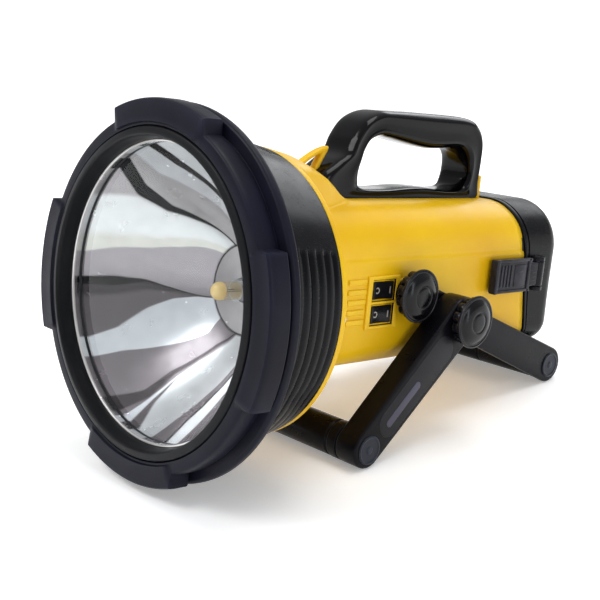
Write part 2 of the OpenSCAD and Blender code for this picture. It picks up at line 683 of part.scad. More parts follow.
module rear_cover() color([0.06, 0.06, 0.07]) body_frame() difference() {
    union() {
        intersection() {
            along(back_y - 30, cover_back) section2d(-cover_proud);
            across(-side_x - 5, side_x + 5) cover_side();
            translate([0, 0, -100]) linear_extrude(200) cover_plan();
            behind(back_y + 2);
        }
        difference() {
            along(back_y - 30, back_y + 25) section2d(body_wall + move_gap);
            behind(back_y + 3);
            front_of(back_y - spigot_len);
        }
        for (s = [-1, 1]) on_side(s) latch_mount();
    }
    along(back_y - 60, cover_back - 6) section2d(body_wall + move_gap + 2.2);
    for (s = [-1, 1]) on_side(s) {
        translate([latch_pin_x, latch_pin_y, latch_z - latch_h]) cylinder(r = latch_pin_r, h = 2 * latch_h);
        translate([latch_pin_x, latch_pin_y, latch_z - latch_h / 2 + 3 - move_gap])
            cylinder(r = latch_hub_r + move_gap, h = latch_h - 6 + 2 * move_gap);
        block(latch_pin_x - latch_hub_r - move_gap, side_x + 20, latch_pin_y - 30, latch_pin_y,
              latch_z - latch_h / 2 + 3 - move_gap, latch_z + latch_h / 2 - 3 + move_gap);
    }
}
module front_of(y) translate([0, y, 0]) rotate([back_lean, 0, 0]) block(-200, 200, -400, 0, -200, 200);

module cover_seal() color([0.2, 0.2, 0.2]) body_frame() difference() {
    along(back_y - 30, back_y + 30) section2d(0.6);
    along(back_y - 31, back_y + 31) section2d(body_wall + move_gap - 0.02);
    behind(back_y + 2);
    front_of(back_y + 0.4);
}

// A latch swings outwards about an upright pin at the cover's edge
module latch_mount() difference() {
    union() {
        translate([latch_pin_x, latch_pin_y, latch_z - latch_h / 2]) cylinder(r = latch_hub_r, h = latch_h);
        block(side_x - 4, latch_pin_x, latch_pin_y - 3, latch_pin_y + 8, latch_z - latch_h / 2,
              latch_z + latch_h / 2);
    }
    along(back_y - 30, back_y + 60) section2d(body_wall + 1);
}
module latch() difference() {
    union() {
        translate([latch_pin_x, latch_pin_y, latch_z - latch_h / 2 + 3])
            cylinder(r = latch_hub_r, h = latch_h - 6);
        block(latch_in, latch_in + latch_t, latch_front + 34, latch_pin_y, latch_z - latch_h / 2 + 3,
              latch_z + latch_h / 2 - 3);
        block(latch_in, latch_in + latch_t, latch_front, latch_front + 40, latch_z - latch_h / 2,
              latch_z + latch_h / 2);
        block(latch_in, latch_in + latch_t + 1.2, latch_front, latch_front + 4, latch_z - latch_h / 2,
              latch_z + latch_h / 2);
    }
    translate([latch_pin_x, latch_pin_y, latch_z - latch_h])
        cylinder(r = latch_pin_r + pivot_gap, h = 2 * latch_h);
}
module latch_right() color([0.06, 0.06, 0.07]) body_frame() latch();
module latch_left() color([0.06, 0.06, 0.07]) body_frame() mirror([1, 0, 0]) latch();
module latch_pin() translate([latch_pin_x, latch_pin_y, latch_z - latch_h / 2])
    cylinder(r = latch_pin_r, h = latch_h);
module latch_pin_right() color("silver") body_frame() latch_pin();
module latch_pin_left() color("silver") body_frame() mirror([1, 0, 0]) latch_pin();

// Raised strikes on the body that the latches close over
module latch_strikes() color([0.90, 0.72, 0.10]) body_frame() for (s = [-1, 1]) on_side(s)
    block(side_x, side_x + 1.4, latch_front + 8, latch_front + 14, latch_z - 8, latch_z + 8);

bezel_bumper();
bezel_ring();
lens();
lens_gasket();
reflector();
bulb_glass();
bulb_base();
bulb_holder();
bulb_clip();
bulb_leads();
head_collar();
collar_screws();
neck_flange();
body_right_shell();
body_left_shell();
shell_screws();
handle();
handle_screws();
strap_lug();
handle_heel();
battery();
battery_pads();
battery_terminals();
wiring();
switch_housings();
rocker_upper();
rocker_lower();
charging_inlet();
pivot_bolts();
frame_arm_right();
frame_arm_left();
frame_crossbar();
leg_bolts();
leg_arm_right();
leg_arm_left();
leg_crossbar();
foot_caps_frame();
foot_caps_leg();
knob_frame_right();
knob_frame_left();
knob_leg_right();
knob_leg_left();
knob_insert_frame_right();
knob_insert_frame_left();
knob_insert_leg_right();
knob_insert_leg_left();
rear_cover();
cover_seal();
latch_right();
latch_left();
latch_pin_right();
latch_pin_left();
latch_strikes();
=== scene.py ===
"""Looks of a rechargeable hand lamp: round head, box body, carrying handle and folding stand."""
import math

import bmesh
import bpy
from bpy.props import FloatProperty, FloatVectorProperty, IntProperty, PointerProperty
from mathutils import Matrix, Vector


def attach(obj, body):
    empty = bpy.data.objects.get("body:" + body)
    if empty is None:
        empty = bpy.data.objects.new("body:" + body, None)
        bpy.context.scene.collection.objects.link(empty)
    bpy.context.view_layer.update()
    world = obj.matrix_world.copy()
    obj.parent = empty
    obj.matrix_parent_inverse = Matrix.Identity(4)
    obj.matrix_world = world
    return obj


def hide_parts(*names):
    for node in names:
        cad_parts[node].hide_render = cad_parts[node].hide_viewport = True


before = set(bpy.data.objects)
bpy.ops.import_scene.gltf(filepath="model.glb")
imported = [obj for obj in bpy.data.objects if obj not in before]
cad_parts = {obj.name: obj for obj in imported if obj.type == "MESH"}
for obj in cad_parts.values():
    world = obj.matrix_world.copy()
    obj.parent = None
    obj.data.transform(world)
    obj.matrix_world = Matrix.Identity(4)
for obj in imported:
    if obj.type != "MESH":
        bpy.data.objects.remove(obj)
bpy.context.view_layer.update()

bl_info = {
    "name": "Hand lamp",
    "version": (1, 0, 0),
    "blender": (4, 5, 0),
    "location": "View3D > Sidebar > Hand lamp",
    "description": "Builds the lamp's moulded, rubber and chromed pieces around its frame",
    "category": "Add Mesh",
}

# ---- The lamp's own frames, in millimetres ----------------------------------------------
# The body lies along its long axis, +Y to the back. It slopes down to the back at rest.
REST_TILT = 6.6          # degrees
HEAD_RISE = 1.6          # extra rise of the lens axis
ROW_Y = -161.465
BODY_Z = 109.941
JOIN_Y = 124.9           # where the head's axis meets the body's
NECK_Y = 73.9            # back of the collar
BACK_Y = 292.0           # back edge of the body on its axis
COVER_Y = 334.0          # back face of the rear cover
BACK_LEAN = 9.5          # degrees, lean of the body's back edge
SIDE_X = 52.0
BODY_TOP = 59.0
BODY_LOW = 41.0
PIVOT_1 = (165.4, 4.9)    # frame's pivot, Y and Z in the body's frame
PIVOT_2 = (200.4, -10.6)  # leg's pivot
FRAME_FOOT = (331.0, -59.29)
LEG_FOOT = (120.8, -84.617)
SHELL_WALL = 1.6         # wall of the yellow body
COVER_WALL = 2.4

MM = 0.001
BODY = (Matrix.Translation((0, ROW_Y * MM, BODY_Z * MM))
        @ Matrix.Rotation(math.radians(-REST_TILT), 4, "X") @ Matrix.Scale(MM, 4))
RISE = (Matrix.Translation((0, JOIN_Y, 0)) @ Matrix.Rotation(math.radians(-HEAD_RISE), 4, "X")
        @ Matrix.Translation((0, -JOIN_Y, 0)))
HEAD = BODY @ RISE
LEFT = Matrix.Scale(-1, 4, (1, 0, 0))


def smooth(edge0, edge1, value):
    """0 below edge0, 1 above edge1, and an even curve between."""
    t = min(max((value - edge0) / (edge1 - edge0), 0.0), 1.0)
    return t * t * (3 - 2 * t)


def along(points, place):
    """Height of a line of (place, height) points at one place."""
    if place <= points[0][0]:
        return points[0][1]
    for (a, low), (b, high) in zip(points, points[1:]):
        if place <= b:
            return low + (high - low) * (place - a) / (b - a)
    return points[-1][1]


def soft_max(a, b, blend):
    """The larger of two lengths, with a rounded change-over."""
    h = max(blend - abs(a - b), 0.0) / blend
    return max(a, b) + h * h * blend / 4


def spline(points, place):
    """Point on a closed smooth line through the points; place counts from the first."""
    k, t, n = math.floor(place), place % 1, len(points)
    a, b, c, d = (Vector(points[(k + i) % n]) for i in (-1, 0, 1, 2))
    return 0.5 * (2 * b + (c - a) * t + (2 * a - 5 * b + 4 * c - d) * t * t
                  + (3 * b - a - 3 * c + d) * t ** 3)


# ---- Mesh helpers -----------------------------------------------------------------------

def rounded(points, steps=4):
    """Profile of (radius, place, fillet) corners, closed, with each corner rounded."""
    out = []
    for before, here, after in zip(points[-1:] + points[:-1], points, points[1:] + points[:1]):
        corner = Vector(here[:2])
        if not here[2]:
            out.append(corner)
            continue
        to_a, to_b = Vector(before[:2]) - corner, Vector(after[:2]) - corner
        cut = min(here[2], to_a.length * 0.48, to_b.length * 0.48)
        a, b = corner + to_a.normalized() * cut, corner + to_b.normalized() * cut
        for k in range(steps + 1):
            t = k / steps
            out.append(a * (1 - t) ** 2 + corner * 2 * t * (1 - t) + b * t * t)
    return out


def lathe(profile, steps=256, closed=True):
    """Turns a profile of (radius, place) about the Y axis."""
    bm = bmesh.new()
    ring = [bm.verts.new((p[0], p[1], 0)) for p in profile]
    edges = [bm.edges.new(pair) for pair in zip(ring, ring[1:])]
    if closed:
        edges.append(bm.edges.new((ring[-1], ring[0])))
    bmesh.ops.spin(bm, geom=ring + edges, cent=(0, 0, 0), axis=(0, 1, 0), dvec=(0, 0, 0),
                   angle=math.tau, steps=steps, use_merge=True)
    return bm


def skin(columns, rows, place):
    """A round shape: columns run round it, rows run along it, and place() puts each corner."""
    bm = bmesh.new()
    bmesh.ops.create_grid(bm, x_segments=columns, y_segments=rows, size=0.5)
    for v in bm.verts:
        v.co = place(round((v.co.x + 0.5) * columns) / columns, round((v.co.y + 0.5) * rows))
    return bm


def block(low, high, bevel=0.6, segments=3):
    """A box between two corners with rounded edges."""
    bm = bmesh.new()
    bmesh.ops.create_cube(bm, size=1.0)
    low, high = Vector(low), Vector(high)
    bmesh.ops.scale(bm, vec=high - low, verts=bm.verts)
    bmesh.ops.translate(bm, vec=(low + high) / 2, verts=bm.verts)
    bmesh.ops.bevel(bm, geom=bm.edges[:], offset=bevel, offset_type="OFFSET", affect="EDGES",
                    segments=segments, profile=0.5, material=-1)
    return bm


def bar(p, q, rp, rq, x0, x1, bevel):
    """A flat bar with round ends between two places (Y, Z), from x0 to x1, edges rounded."""
    bm = bmesh.new()
    for (y, z), r in ((p, rp), (q, rq)):
        for x in (x0, x1):
            bmesh.ops.create_circle(bm, segments=96, radius=r, cap_ends=False,
                                    matrix=Matrix.Translation((x, y, z))
                                    @ Matrix.Rotation(math.pi / 2, 4, "Y"))
    hull = bmesh.ops.convex_hull(bm, input=bm.verts)
    inside = [g for g in hull["geom_interior"] if isinstance(g, bmesh.types.BMVert)]
    loose = [v for v in bm.verts if not v.link_faces]
    bmesh.ops.delete(bm, geom=list(set(inside + loose)), context="VERTS")
    bmesh.ops.dissolve_limit(bm, angle_limit=math.radians(0.5), verts=bm.verts, edges=bm.edges)
    rims = [e for e in bm.edges if len(e.link_faces) == 2
            and e.calc_face_angle() > math.radians(60)]
    bmesh.ops.bevel(bm, geom=rims, offset=bevel, offset_type="OFFSET", affect="EDGES",
                    segments=5, profile=0.5, material=-1)
    return bm


def on_side(bm, side):
    """Mirrors a mesh of the right side when side is -1."""
    if side < 0:
        bm.transform(LEFT)
    return bm


def joined(*parts):
    """Several meshes as one."""
    whole = bmesh.new()
    for part in parts:
        mesh = bpy.data.meshes.new("part")
        part.to_mesh(mesh)
        part.free()
        whole.from_mesh(mesh)
        bpy.data.meshes.remove(mesh)
    return whole


def make(name, bm, place, look, body, replaces=(), sharp=34):
    """Puts a finished mesh in the row's frame as a piece that rides on a body."""
    bmesh.ops.remove_doubles(bm, verts=bm.verts, dist=0.004)
    bmesh.ops.dissolve_degenerate(bm, dist=0.0005, edges=bm.edges)
    bm.transform(place)
    bmesh.ops.recalc_face_normals(bm, faces=bm.faces)
    mesh = bpy.data.meshes.new(name)
    bm.to_mesh(mesh)
    bm.free()
    mesh.shade_smooth()
    mesh.set_sharp_from_angle(angle=math.radians(sharp))
    mesh.materials.append(finish_of(look))
    piece = bpy.data.objects.new(name, mesh)
    bpy.context.scene.collection.objects.link(piece)
    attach(piece, body)
    if replaces:
        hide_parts(*replaces)
    return piece


ABOUT_X = Matrix.Rotation(-math.pi / 2, 4, "Z")   # turns a lathed shape's axis from Y to X


# ---- Materials --------------------------------------------------------------------------

def srgb(code):
    """Linear colour of an sRGB hex value such as E8C424."""
    parts = [int(code[k:k + 2], 16) / 255 for k in (0, 2, 4)]
    return tuple(c / 12.92 if c <= 0.04045 else ((c + 0.055) / 1.055) ** 2.4 for c in parts) + (1.0,)


def hex_code(colour):
    """sRGB hex value of three parts from 0 to 1."""
    return "".join("%02X" % round(max(0, min(1, c)) * 255) for c in colour)


def add(tree, kind, inputs=None, **settings):
    """Adds a node with its settings, and sets or links its inputs."""
    node = tree.nodes.new(kind)
    for key, value in settings.items():
        setattr(node, key, value)
    for key, value in (inputs or {}).items():
        if isinstance(value, bpy.types.NodeSocket):
            tree.links.new(value, node.inputs[key])
        else:
            node.inputs[key].default_value = value
    return node


def blank(name):
    """An empty material, its node tree and its Object coordinates."""
    material = bpy.data.materials.new(name)
    material.use_nodes = True
    tree = material.node_tree
    tree.nodes.clear()
    return material, tree, add(tree, "ShaderNodeTexCoord").outputs["Object"]


def noise(tree, coordinates, size_mm, detail=3.0, rough=0.5):
    """Cloudy pattern whose patches are size_mm across."""
    return add(tree, "ShaderNodeTexNoise", {"Vector": coordinates, "Scale": 1 / (size_mm * MM),
                                            "Detail": detail, "Roughness": rough}).outputs["Fac"]


def span(tree, value, low, high, to_low, to_high):
    """Maps a value from one range to another."""
    return add(tree, "ShaderNodeMapRange", {"Value": value, "From Min": low, "From Max": high,
                                            "To Min": to_low, "To Max": to_high}).outputs["Result"]


def moulded(name, base, shade, edge, roughness=0.4, grain_mm=0.8, grain_depth=0.05, coat=0.0,
            wear=0.35, cloud_mm=38.0, metallic=0.0, ior=1.5, scratch=0.12, shine=0.5):
    """Moulded or plated surface: cloudy colour, pale worn edges, fine grain and hairline rubs."""
    material, tree, place = blank(name)
    cloud = noise(tree, place, cloud_mm, 4.0)
    tint = add(tree, "ShaderNodeMix", {"Factor": span(tree, cloud, 0.3, 0.7, 0, 1),
                                       "A": srgb(base), "B": srgb(shade)}, data_type="RGBA")
    # worn, paler corners: convex places read above one half
    corner = add(tree, "ShaderNodeNewGeometry").outputs["Pointiness"]
    rubbed = span(tree, corner, 0.515, 0.60, 0, wear)
    patchy = add(tree, "ShaderNodeMath", {0: rubbed, 1: span(tree, noise(tree, place, 9.0), 0.35,
                                                            0.65, 0.45, 1.0)},
                 operation="MULTIPLY").outputs[0]
    colour = add(tree, "ShaderNodeMix", {"Factor": patchy, "A": tint.outputs["Result"],
                                         "B": srgb(edge)}, data_type="RGBA").outputs["Result"]
    # hairline rubs, drawn 0.5 mm wide and 30 mm long so that they show
    stretched = add(tree, "ShaderNodeMapping", {"Vector": place, "Scale": (1.0, 0.03, 0.35)})
    hair = noise(tree, stretched.outputs["Vector"], 0.55, 2.0)
    rubs = span(tree, hair, 0.60, 0.78, 0, scratch)
    base_rough = span(tree, noise(tree, place, 14.0), 0.25, 0.75, roughness - 0.06, roughness + 0.06)
    rough = add(tree, "ShaderNodeMath", {0: base_rough, 1: rubs}, operation="ADD").outputs[0]
    grain = noise(tree, place, grain_mm, 2.0)
    bump = add(tree, "ShaderNodeBump", {"Height": grain, "Strength": 0.55,
                                        "Distance": grain_depth * MM})
    surface = add(tree, "ShaderNodeBsdfPrincipled", {
        "Base Color": colour, "Roughness": rough, "Normal": bump.outputs["Normal"],
        "Metallic": metallic, "Coat Weight": coat, "Coat Roughness": 0.12, "IOR": ior,
        "Specular IOR Level": shine})
    add(tree, "ShaderNodeOutputMaterial", {"Surface": surface.outputs["BSDF"]})
    return material


def chromed(name):
    """Vacuum-metallised dish: a part-metal mirror whose colour carries painted reflections, bright and dark
    bands that the piece carries as an attribute.
    """
    material, tree, place = blank(name)
    # painted reflections: the bright and dark bands, read from the piece's attribute
    tone = add(tree, "ShaderNodeAttribute", attribute_name="painted_reflection").outputs["Color"]
    haze = span(tree, noise(tree, place, 7.0, 5.0), 0.3, 0.7, 0.9, 1.0)
    colour = add(tree, "ShaderNodeMix", {"Factor": 1.0, "A": tone, "B": haze}, data_type="RGBA",
                 blend_type="MULTIPLY").outputs["Result"]
    # drawn coarse: the lacquer's ripple is finer than this on a real dish
    ripple = add(tree, "ShaderNodeBump", {"Height": noise(tree, place, 5.0, 3.0), "Strength": 0.06,
                                          "Distance": 0.04 * MM}).outputs["Normal"]
    rough = span(tree, noise(tree, place, 11.0), 0.3, 0.7, 0.20, 0.28)
    surface = add(tree, "ShaderNodeBsdfPrincipled", {"Base Color": colour, "Metallic": 0.6,
                                                     "Roughness": rough, "Normal": ripple})
    add(tree, "ShaderNodeOutputMaterial", {"Surface": surface.outputs["BSDF"]})
    return material


def clear(name, tint, gloss_rough, shine_ior):
    """Clear polycarbonate or glass: light passes straight through, with a faint gloss."""
    material, tree, place = blank(name)
    smear = span(tree, noise(tree, place, 22.0, 4.0), 0.45, 0.75, gloss_rough, gloss_rough + 0.06)
    body = add(tree, "ShaderNodeBsdfTransparent", {"Color": srgb(tint)}).outputs["BSDF"]
    gloss = add(tree, "ShaderNodeBsdfGlossy", {"Roughness": smear}).outputs["BSDF"]
    edge = add(tree, "ShaderNodeFresnel", {"IOR": shine_ior}).outputs["Fac"]
    # only the side that faces out is glossy, so that light leaves the wall freely
    inner = add(tree, "ShaderNodeNewGeometry").outputs["Backfacing"]
    outer = add(tree, "ShaderNodeMath", {0: 1.0, 1: inner}, operation="SUBTRACT").outputs[0]
    edge = add(tree, "ShaderNodeMath", {0: edge, 1: outer}, operation="MULTIPLY").outputs[0]
    mixed = add(tree, "ShaderNodeMixShader", {0: edge, 1: body, 2: gloss})
    add(tree, "ShaderNodeOutputMaterial", {"Surface": mixed.outputs["Shader"]})
    return material


MATERIALS = {}


def finish_of(name):
    """Each finish is made once, when its first piece asks for it."""
    if name in MATERIALS:
        return MATERIALS[name]
    look = bpy.context.scene.lamp_colours
    yellow, black = hex_code(look.body), hex_code(look.rubber)
    recipes = {
        # EPDM rubber, moulded: navy-black with a soft sheen, rubbed grey on its corners
        "rubber": lambda: moulded("Satin rubber", black, "0E0F18", "34354A", 0.40, 0.9, 0.08,
                                  wear=0.45, ior=1.52, shine=0.12),
        # black ABS, spark-textured mould: a dull sheen that hides small marks
        "bezel": lambda: moulded("Textured black ABS", "121316", "0E0F12", "2E2F35", 0.40, 0.7, 0.05,
                                 shine=0.16),
        # black ABS, satin mould: smooth highlights that run along each ring
        "collar": lambda: moulded("Satin black ABS", "07080B", "050508", "1E1F2C", 0.24, 0.9, 0.03,
                                  shine=0.12),
        # silicone, moulded: matt, with hardly any highlight
        "seal": lambda: moulded("Silicone seal", "17181A", "202124", "2C2D30", 0.6, 0.8, 0.05),
        # yellow ABS, polished mould: broad highlights that waver with its light orange-peel
        "yellow": lambda: moulded("Yellow ABS", yellow, "D8A60C", "F4D850", 0.34, 2.2, 0.04,
                                  wear=0.4, cloud_mm=70.0, shine=0.25),
        # black ABS, polished mould: sharp, bright highlights along the grip
        "handle": lambda: moulded("Gloss black ABS", "050507", "030305", "18181E", 0.13, 1.6, 0.02,
                                  wear=0.3, shine=0.18),
        # nylon, fine mould: a close, even sheen on the rockers and their wells
        "switch": lambda: moulded("Switch black nylon", "0C0C0E", "111114", "26262C", 0.30, 0.7, 0.03,
                                  shine=0.25),
        # printed ink: flat, pale grey strokes, duller than the plastic under them
        "mark": lambda: moulded("Switch print", "9A968F", "8A867F", "B0ACA5", 0.5, 0.6, 0.02),
        # glass-filled nylon, moulded: a slightly mottled satin, greyed on its corners
        "stand": lambda: moulded("Black glass-filled nylon", "0A0A0F", "07070B", "2C2C38", 0.30, 0.8,
                                 0.06, wear=0.5, shine=0.12),
        # the same nylon: a shade paler and duller than the arm round it
        "panel": lambda: moulded("Stand panel nylon", "111117", "0D0D12", "34343F", 0.36, 0.8, 0.06,
                                 shine=0.2),
        # moulded plastic strip: a muted lavender line, nearly matt
        "stripe": lambda: moulded("Lavender strip", "37364A", "2E2D3E", "55536A", 0.4, 0.8, 0.03),
        # moulded plastic: cooler and paler than the crossbars that it closes
        "cap": lambda: moulded("Blue-grey cap plastic", "1E2330", "181C27", "464E60", 0.36, 0.8, 0.04,
                               shine=0.25),
        # black ABS, polished: small glints on the lobes, pale wear where fingers turn it
        "knob": lambda: moulded("Knob ABS", "07080B", "050507", "3E3E4A", 0.20, 0.9, 0.02,
                                wear=0.7, shine=0.24),
        # black ABS, satin mould: long, soft highlights round the back corner
        "cover": lambda: moulded("Cover black ABS", "090A0C", "060608", "2C2C34", 0.28, 0.9, 0.04,
                                 wear=0.45, shine=0.12),
        # acetal, moulded: waxy highlights, and pale worn edges where it is gripped
        "latch": lambda: moulded("Latch black acetal", "08080B", "060608", "50505A", 0.22, 0.8, 0.02,
                                 wear=0.9, shine=0.14),
        # zinc plate on steel: bright, cool grey with a slightly blurred shine
        "steel": lambda: moulded("Zinc-plated steel", "B4B6BA", "9A9CA2", "D8DADE", 0.32, 0.5, 0.02,
                                 metallic=1.0),
        # brass, turned: warm yellow metal with a slightly blurred shine
        "brass": lambda: moulded("Turned brass", "B8923C", "9C7A2E", "DDBE70", 0.3, 0.5, 0.02,
                                 metallic=1.0),
        # ceramic, unglazed: off-white and chalky, with no shine
        "ceramic": lambda: moulded("Unglazed ceramic", "DAD5C8", "CBC5B6", "ECE8DE", 0.62, 0.6, 0.05),
        # PVC, extruded: plain red with a dull shine
        "wire": lambda: moulded("Red PVC sleeve", "9C1A16", "861310", "B84A44", 0.45, 0.6, 0.02),
        # ABS, moulded: dark grey and flat
        "battery": lambda: moulded("Battery case ABS", "26262B", "1F1F24", "3A3A42", 0.5, 0.9, 0.06),
        # closed-cell foam: very matt, with a coarse grain
        "foam": lambda: moulded("Closed-cell foam", "3A3A3C", "2E2E30", "505054", 0.85, 1.4, 0.3),
        # vacuum-metallised plastic: bright, with painted reflections in broad streaks
        "chrome": lambda: chromed("Vacuum-metallised dish"),
        # polycarbonate, moulded clear: nearly unseen, with a faint gloss
        "lens": lambda: clear("Clear polycarbonate", "FAFCFD", 0.02, 1.25),
        # glass, blown: clear, with a faint warm tint
        "amber": lambda: clear("Clear bulb glass", "FFF8EA", 0.03, 1.3),
        # amber dip coat on the bulb's tip, thin and slightly cloudy
        "tip": lambda: moulded("Amber dip coat", "F3D48E", "E8BE68", "FFF0C8", 0.25, 0.6, 0.02,
                               coat=0.3),
        # tungsten, drawn: a pale, warm coil with no light of its own
        "filament": lambda: moulded("Glowing tungsten", "FFDF8C", "FFCB60", "FFF0C8", 0.4, 0.4, 0.01),
    }
    MATERIALS[name] = recipes[name]()
    return MATERIALS[name]


# ---- Sizes and colours ------------------------------------------------------------------

class LampSizes(bpy.types.PropertyGroup):
    """Sizes in metres of the features that a maker would change."""
    lug_height: FloatProperty(name="Lug height", description="Height of the bumper's lugs",
                              default=0.0073, min=0.002, max=0.009, subtype="DISTANCE", unit="LENGTH")
    lug_half_arc: FloatProperty(name="Lug half arc", description="Half of the arc of a lug",
                                default=math.radians(23), subtype="ANGLE", unit="ROTATION")
    ring_pitch: FloatProperty(name="Ring pitch", description="Distance between the collar's rings",
                              default=0.0071, subtype="DISTANCE", unit="LENGTH")
    handle_width: FloatProperty(name="Handle width", description="Width of the carrying handle",
                                default=0.030, subtype="DISTANCE", unit="LENGTH")
    knob_lobes: IntProperty(name="Knob lobes", description="Lobes round a clamping knob",
                            default=12, min=6, max=20)


class LampColours(bpy.types.PropertyGroup):
    """Colours of the main finishes, as sRGB values."""
    body: FloatVectorProperty(name="Body", description="Yellow of the body shells", size=3,
                              default=(0.902, 0.735, 0.04), subtype="COLOR_GAMMA", min=0, max=1)
    rubber: FloatVectorProperty(name="Bumper", description="Navy-black of the rubber bumper",
                                size=3, default=(0.075, 0.078, 0.135), subtype="COLOR_GAMMA",
                                min=0, max=1)


# ---- Head -------------------------------------------------------------------------------

class LAMP_OT_bumper(bpy.types.Operator):
    """Rubber bumper ring with four lugs and stepped front face"""
    bl_idname = "lamp.bumper"
    bl_label = "Bumper"

    def execute(self, context):
        sizes = context.scene.lamp_sizes
        rise, half = sizes.lug_height / MM, math.degrees(sizes.lug_half_arc)
        bm = lathe(rounded([
            (94.05, 4.6, 0.4), (94.2, 2.3, 0.5), (95.4, 2.3, 0), (96.1, 2.3, 0), (98.4, 2.4, 0),
            (101.4, 2.9, 1.4), (102, 5.6, 1.2), (102, 14.6, 0.5), (101, 15.4, 0.4), (101, 17.0, 0.3),
            (107.2, 17.3, 0.9), (108.6, 18.8, 1.0), (108.6, 22.4, 1.2), (106.4, 24, 1.2),
            (98.6, 24, 0.3), (94.05, 24, 0.3),
        ]), steps=360)
        for v in bm.verts:
            r, turn = math.hypot(v.co.x, v.co.z), math.degrees(math.atan2(v.co.z, v.co.x))
            off = abs((turn + 45) % 90 - 45)
            lug = 1 - smooth(half - 0.9, half + 0.9, off)
            if v.co.y > 15.6 or r < 96 or not lug:
                continue
            grown = r + (rise * lug if r > 100.4 else 0)
            v.co.x *= grown / r
            v.co.z *= grown / r
            v.co.y -= 1.35 * lug * (1 - smooth(2, 9, v.co.y))
        make("bumper", bm, HEAD, "rubber", "lamp", ["bezel_bumper"])
        return {"FINISHED"}


class LAMP_OT_bezel(bpy.types.Operator):
    """Black bezel round the lens, and the clear lens"""
    bl_idname = "lamp.bezel"
    bl_label = "Bezel"

    def execute(self, context):
        ring = lathe(rounded([
            (93.8, 3.0, 0.4), (93.2, 1.7, 0.5), (91.0, 1.0, 0.6), (88.9, 0.7, 0.8), (88.0, 2.6, 0.8),
            (87.0, 8.0, 0.6), (86.8, 11.6, 0.2), (89.9, 11.7, 0), (89.9, 24, 0.2), (93.8, 24, 0.2),
        ]), steps=256)
        make("bezel", ring, HEAD, "bezel", "lamp", ["bezel_ring"])
        pane = lathe(rounded([(0.001, 11.7, 0), (60, 11.75, 0), (85.4, 12.1, 0.5), (85.4, 15.1, 0.5),
                              (0.001, 15.2, 0)]), steps=256)
        make("lens_pane", pane, HEAD, "lens", "lamp", ["lens"])
        paint("lens_gasket", "seal")
        return {"FINISHED"}


# Painted reflections of the metallised dish: bright and dark bands, turning from +X over the top. Each row
# gives the reflected tone that
# # starts at a line, how soft the line is in degrees, and the line's angle at six radii.
DISH_RADII = (88, 75, 62, 50, 38, 28)
DISH_REFLECTION_BANDS = [
    ("F6F6F8", 2.0, (15, 15, 16, 17, 18, 20)), ("6A6264", 0.8, (40, 40, 40, 41, 42, 43)),
    ("C9C4C4", 2.0, (46, 46, 46, 46, 46, 46)), ("FFFFFF", 2.0, (66, 66, 66, 66, 66, 66)),
    ("0C0B0C", 0.5, (105, 101, 94, 90, 86, 84)), ("FBFBFB", 0.5, (110, 107, 99, 94, 89, 86)),
    ("C8C2C0", 2.5, (118, 120, 112, 103, 99, 97)), ("0A090A", 0.6, (121, 131, 133, 127, 119, 112)),
    ("BDB5B5", 0.6, (129, 139, 138.6, 131, 121, 114)),
    ("F5F4F1", 3.0, (148, 140, 139, 131.6, 121.6, 114.6)),
    ("E2DED4", 6.0, (166, 162, 158, 150, 139, 128)),
    ("ADA5A7", 0.8, (174, 169, 165, 158, 147, 138)),
    ("100E0F", 0.8, (184, 183, 184, 189, 195, 200)),
    ("4E4749", 1.2, (187, 188, 185.4, 190, 195.6, 200.5)),
    ("7B7375", 3.0, (192, 192, 190, 192, 196.4, 201)),
    ("FCFDFF", 0.8, (210, 208, 200.5, 196.6, 197, 201.5)),
    ("91878A", 0.8, (218, 220, 225, 230, 235, 229)),
    ("463E40", 1.0, (237, 244, 243, 246.5, 251, 262)),
    ("8A8083", 1.2, (246, 249, 246.5, 249.5, 254.5, 264)),
    ("FCFCFF", 0.5, (250, 249.6, 248.6, 251, 257, 266)),
    ("6F6668", 0.6, (255, 251.4, 249.2, 251.6, 257.6, 266.6)),
    ("FFFFFF", 0.6, (262, 253.6, 249.8, 252.2, 258.2, 267.2)),
    ("938A8D", 0.7, (269, 272, 277, 283, 290, 296)),
    ("4E4649", 0.8, (277.5, 277.6, 281.4, 287.4, 295.4, 301.4)),
    ("FFFFFF", 0.5, (279, 279, 283, 289, 297, 303)),
    ("8B8184", 1.0, (285, 288, 291, 297, 303, 309)), ("FFFFFF", 1.0, (300, 301, 303, 308, 313, 318)),
    ("5A5254", 1.0, (326, 326, 327, 328, 330, 332)), ("D2CDCD", 2.0, (333, 333, 334, 335, 337, 339)),
]


def dish_reflection(r, turn):
    """Painted reflection on the dish, as a linear colour, at a radius and an angle in degrees."""
    colour = Vector(srgb(DISH_REFLECTION_BANDS[-1][0])[:3])
    for tone, soft, line in DISH_REFLECTION_BANDS:
        start = along(list(zip(reversed(DISH_RADII), reversed(line))), r)
        colour = colour.lerp(Vector(srgb(tone)[:3]), smooth(start - soft / 2, start + soft / 2, turn))
    return colour


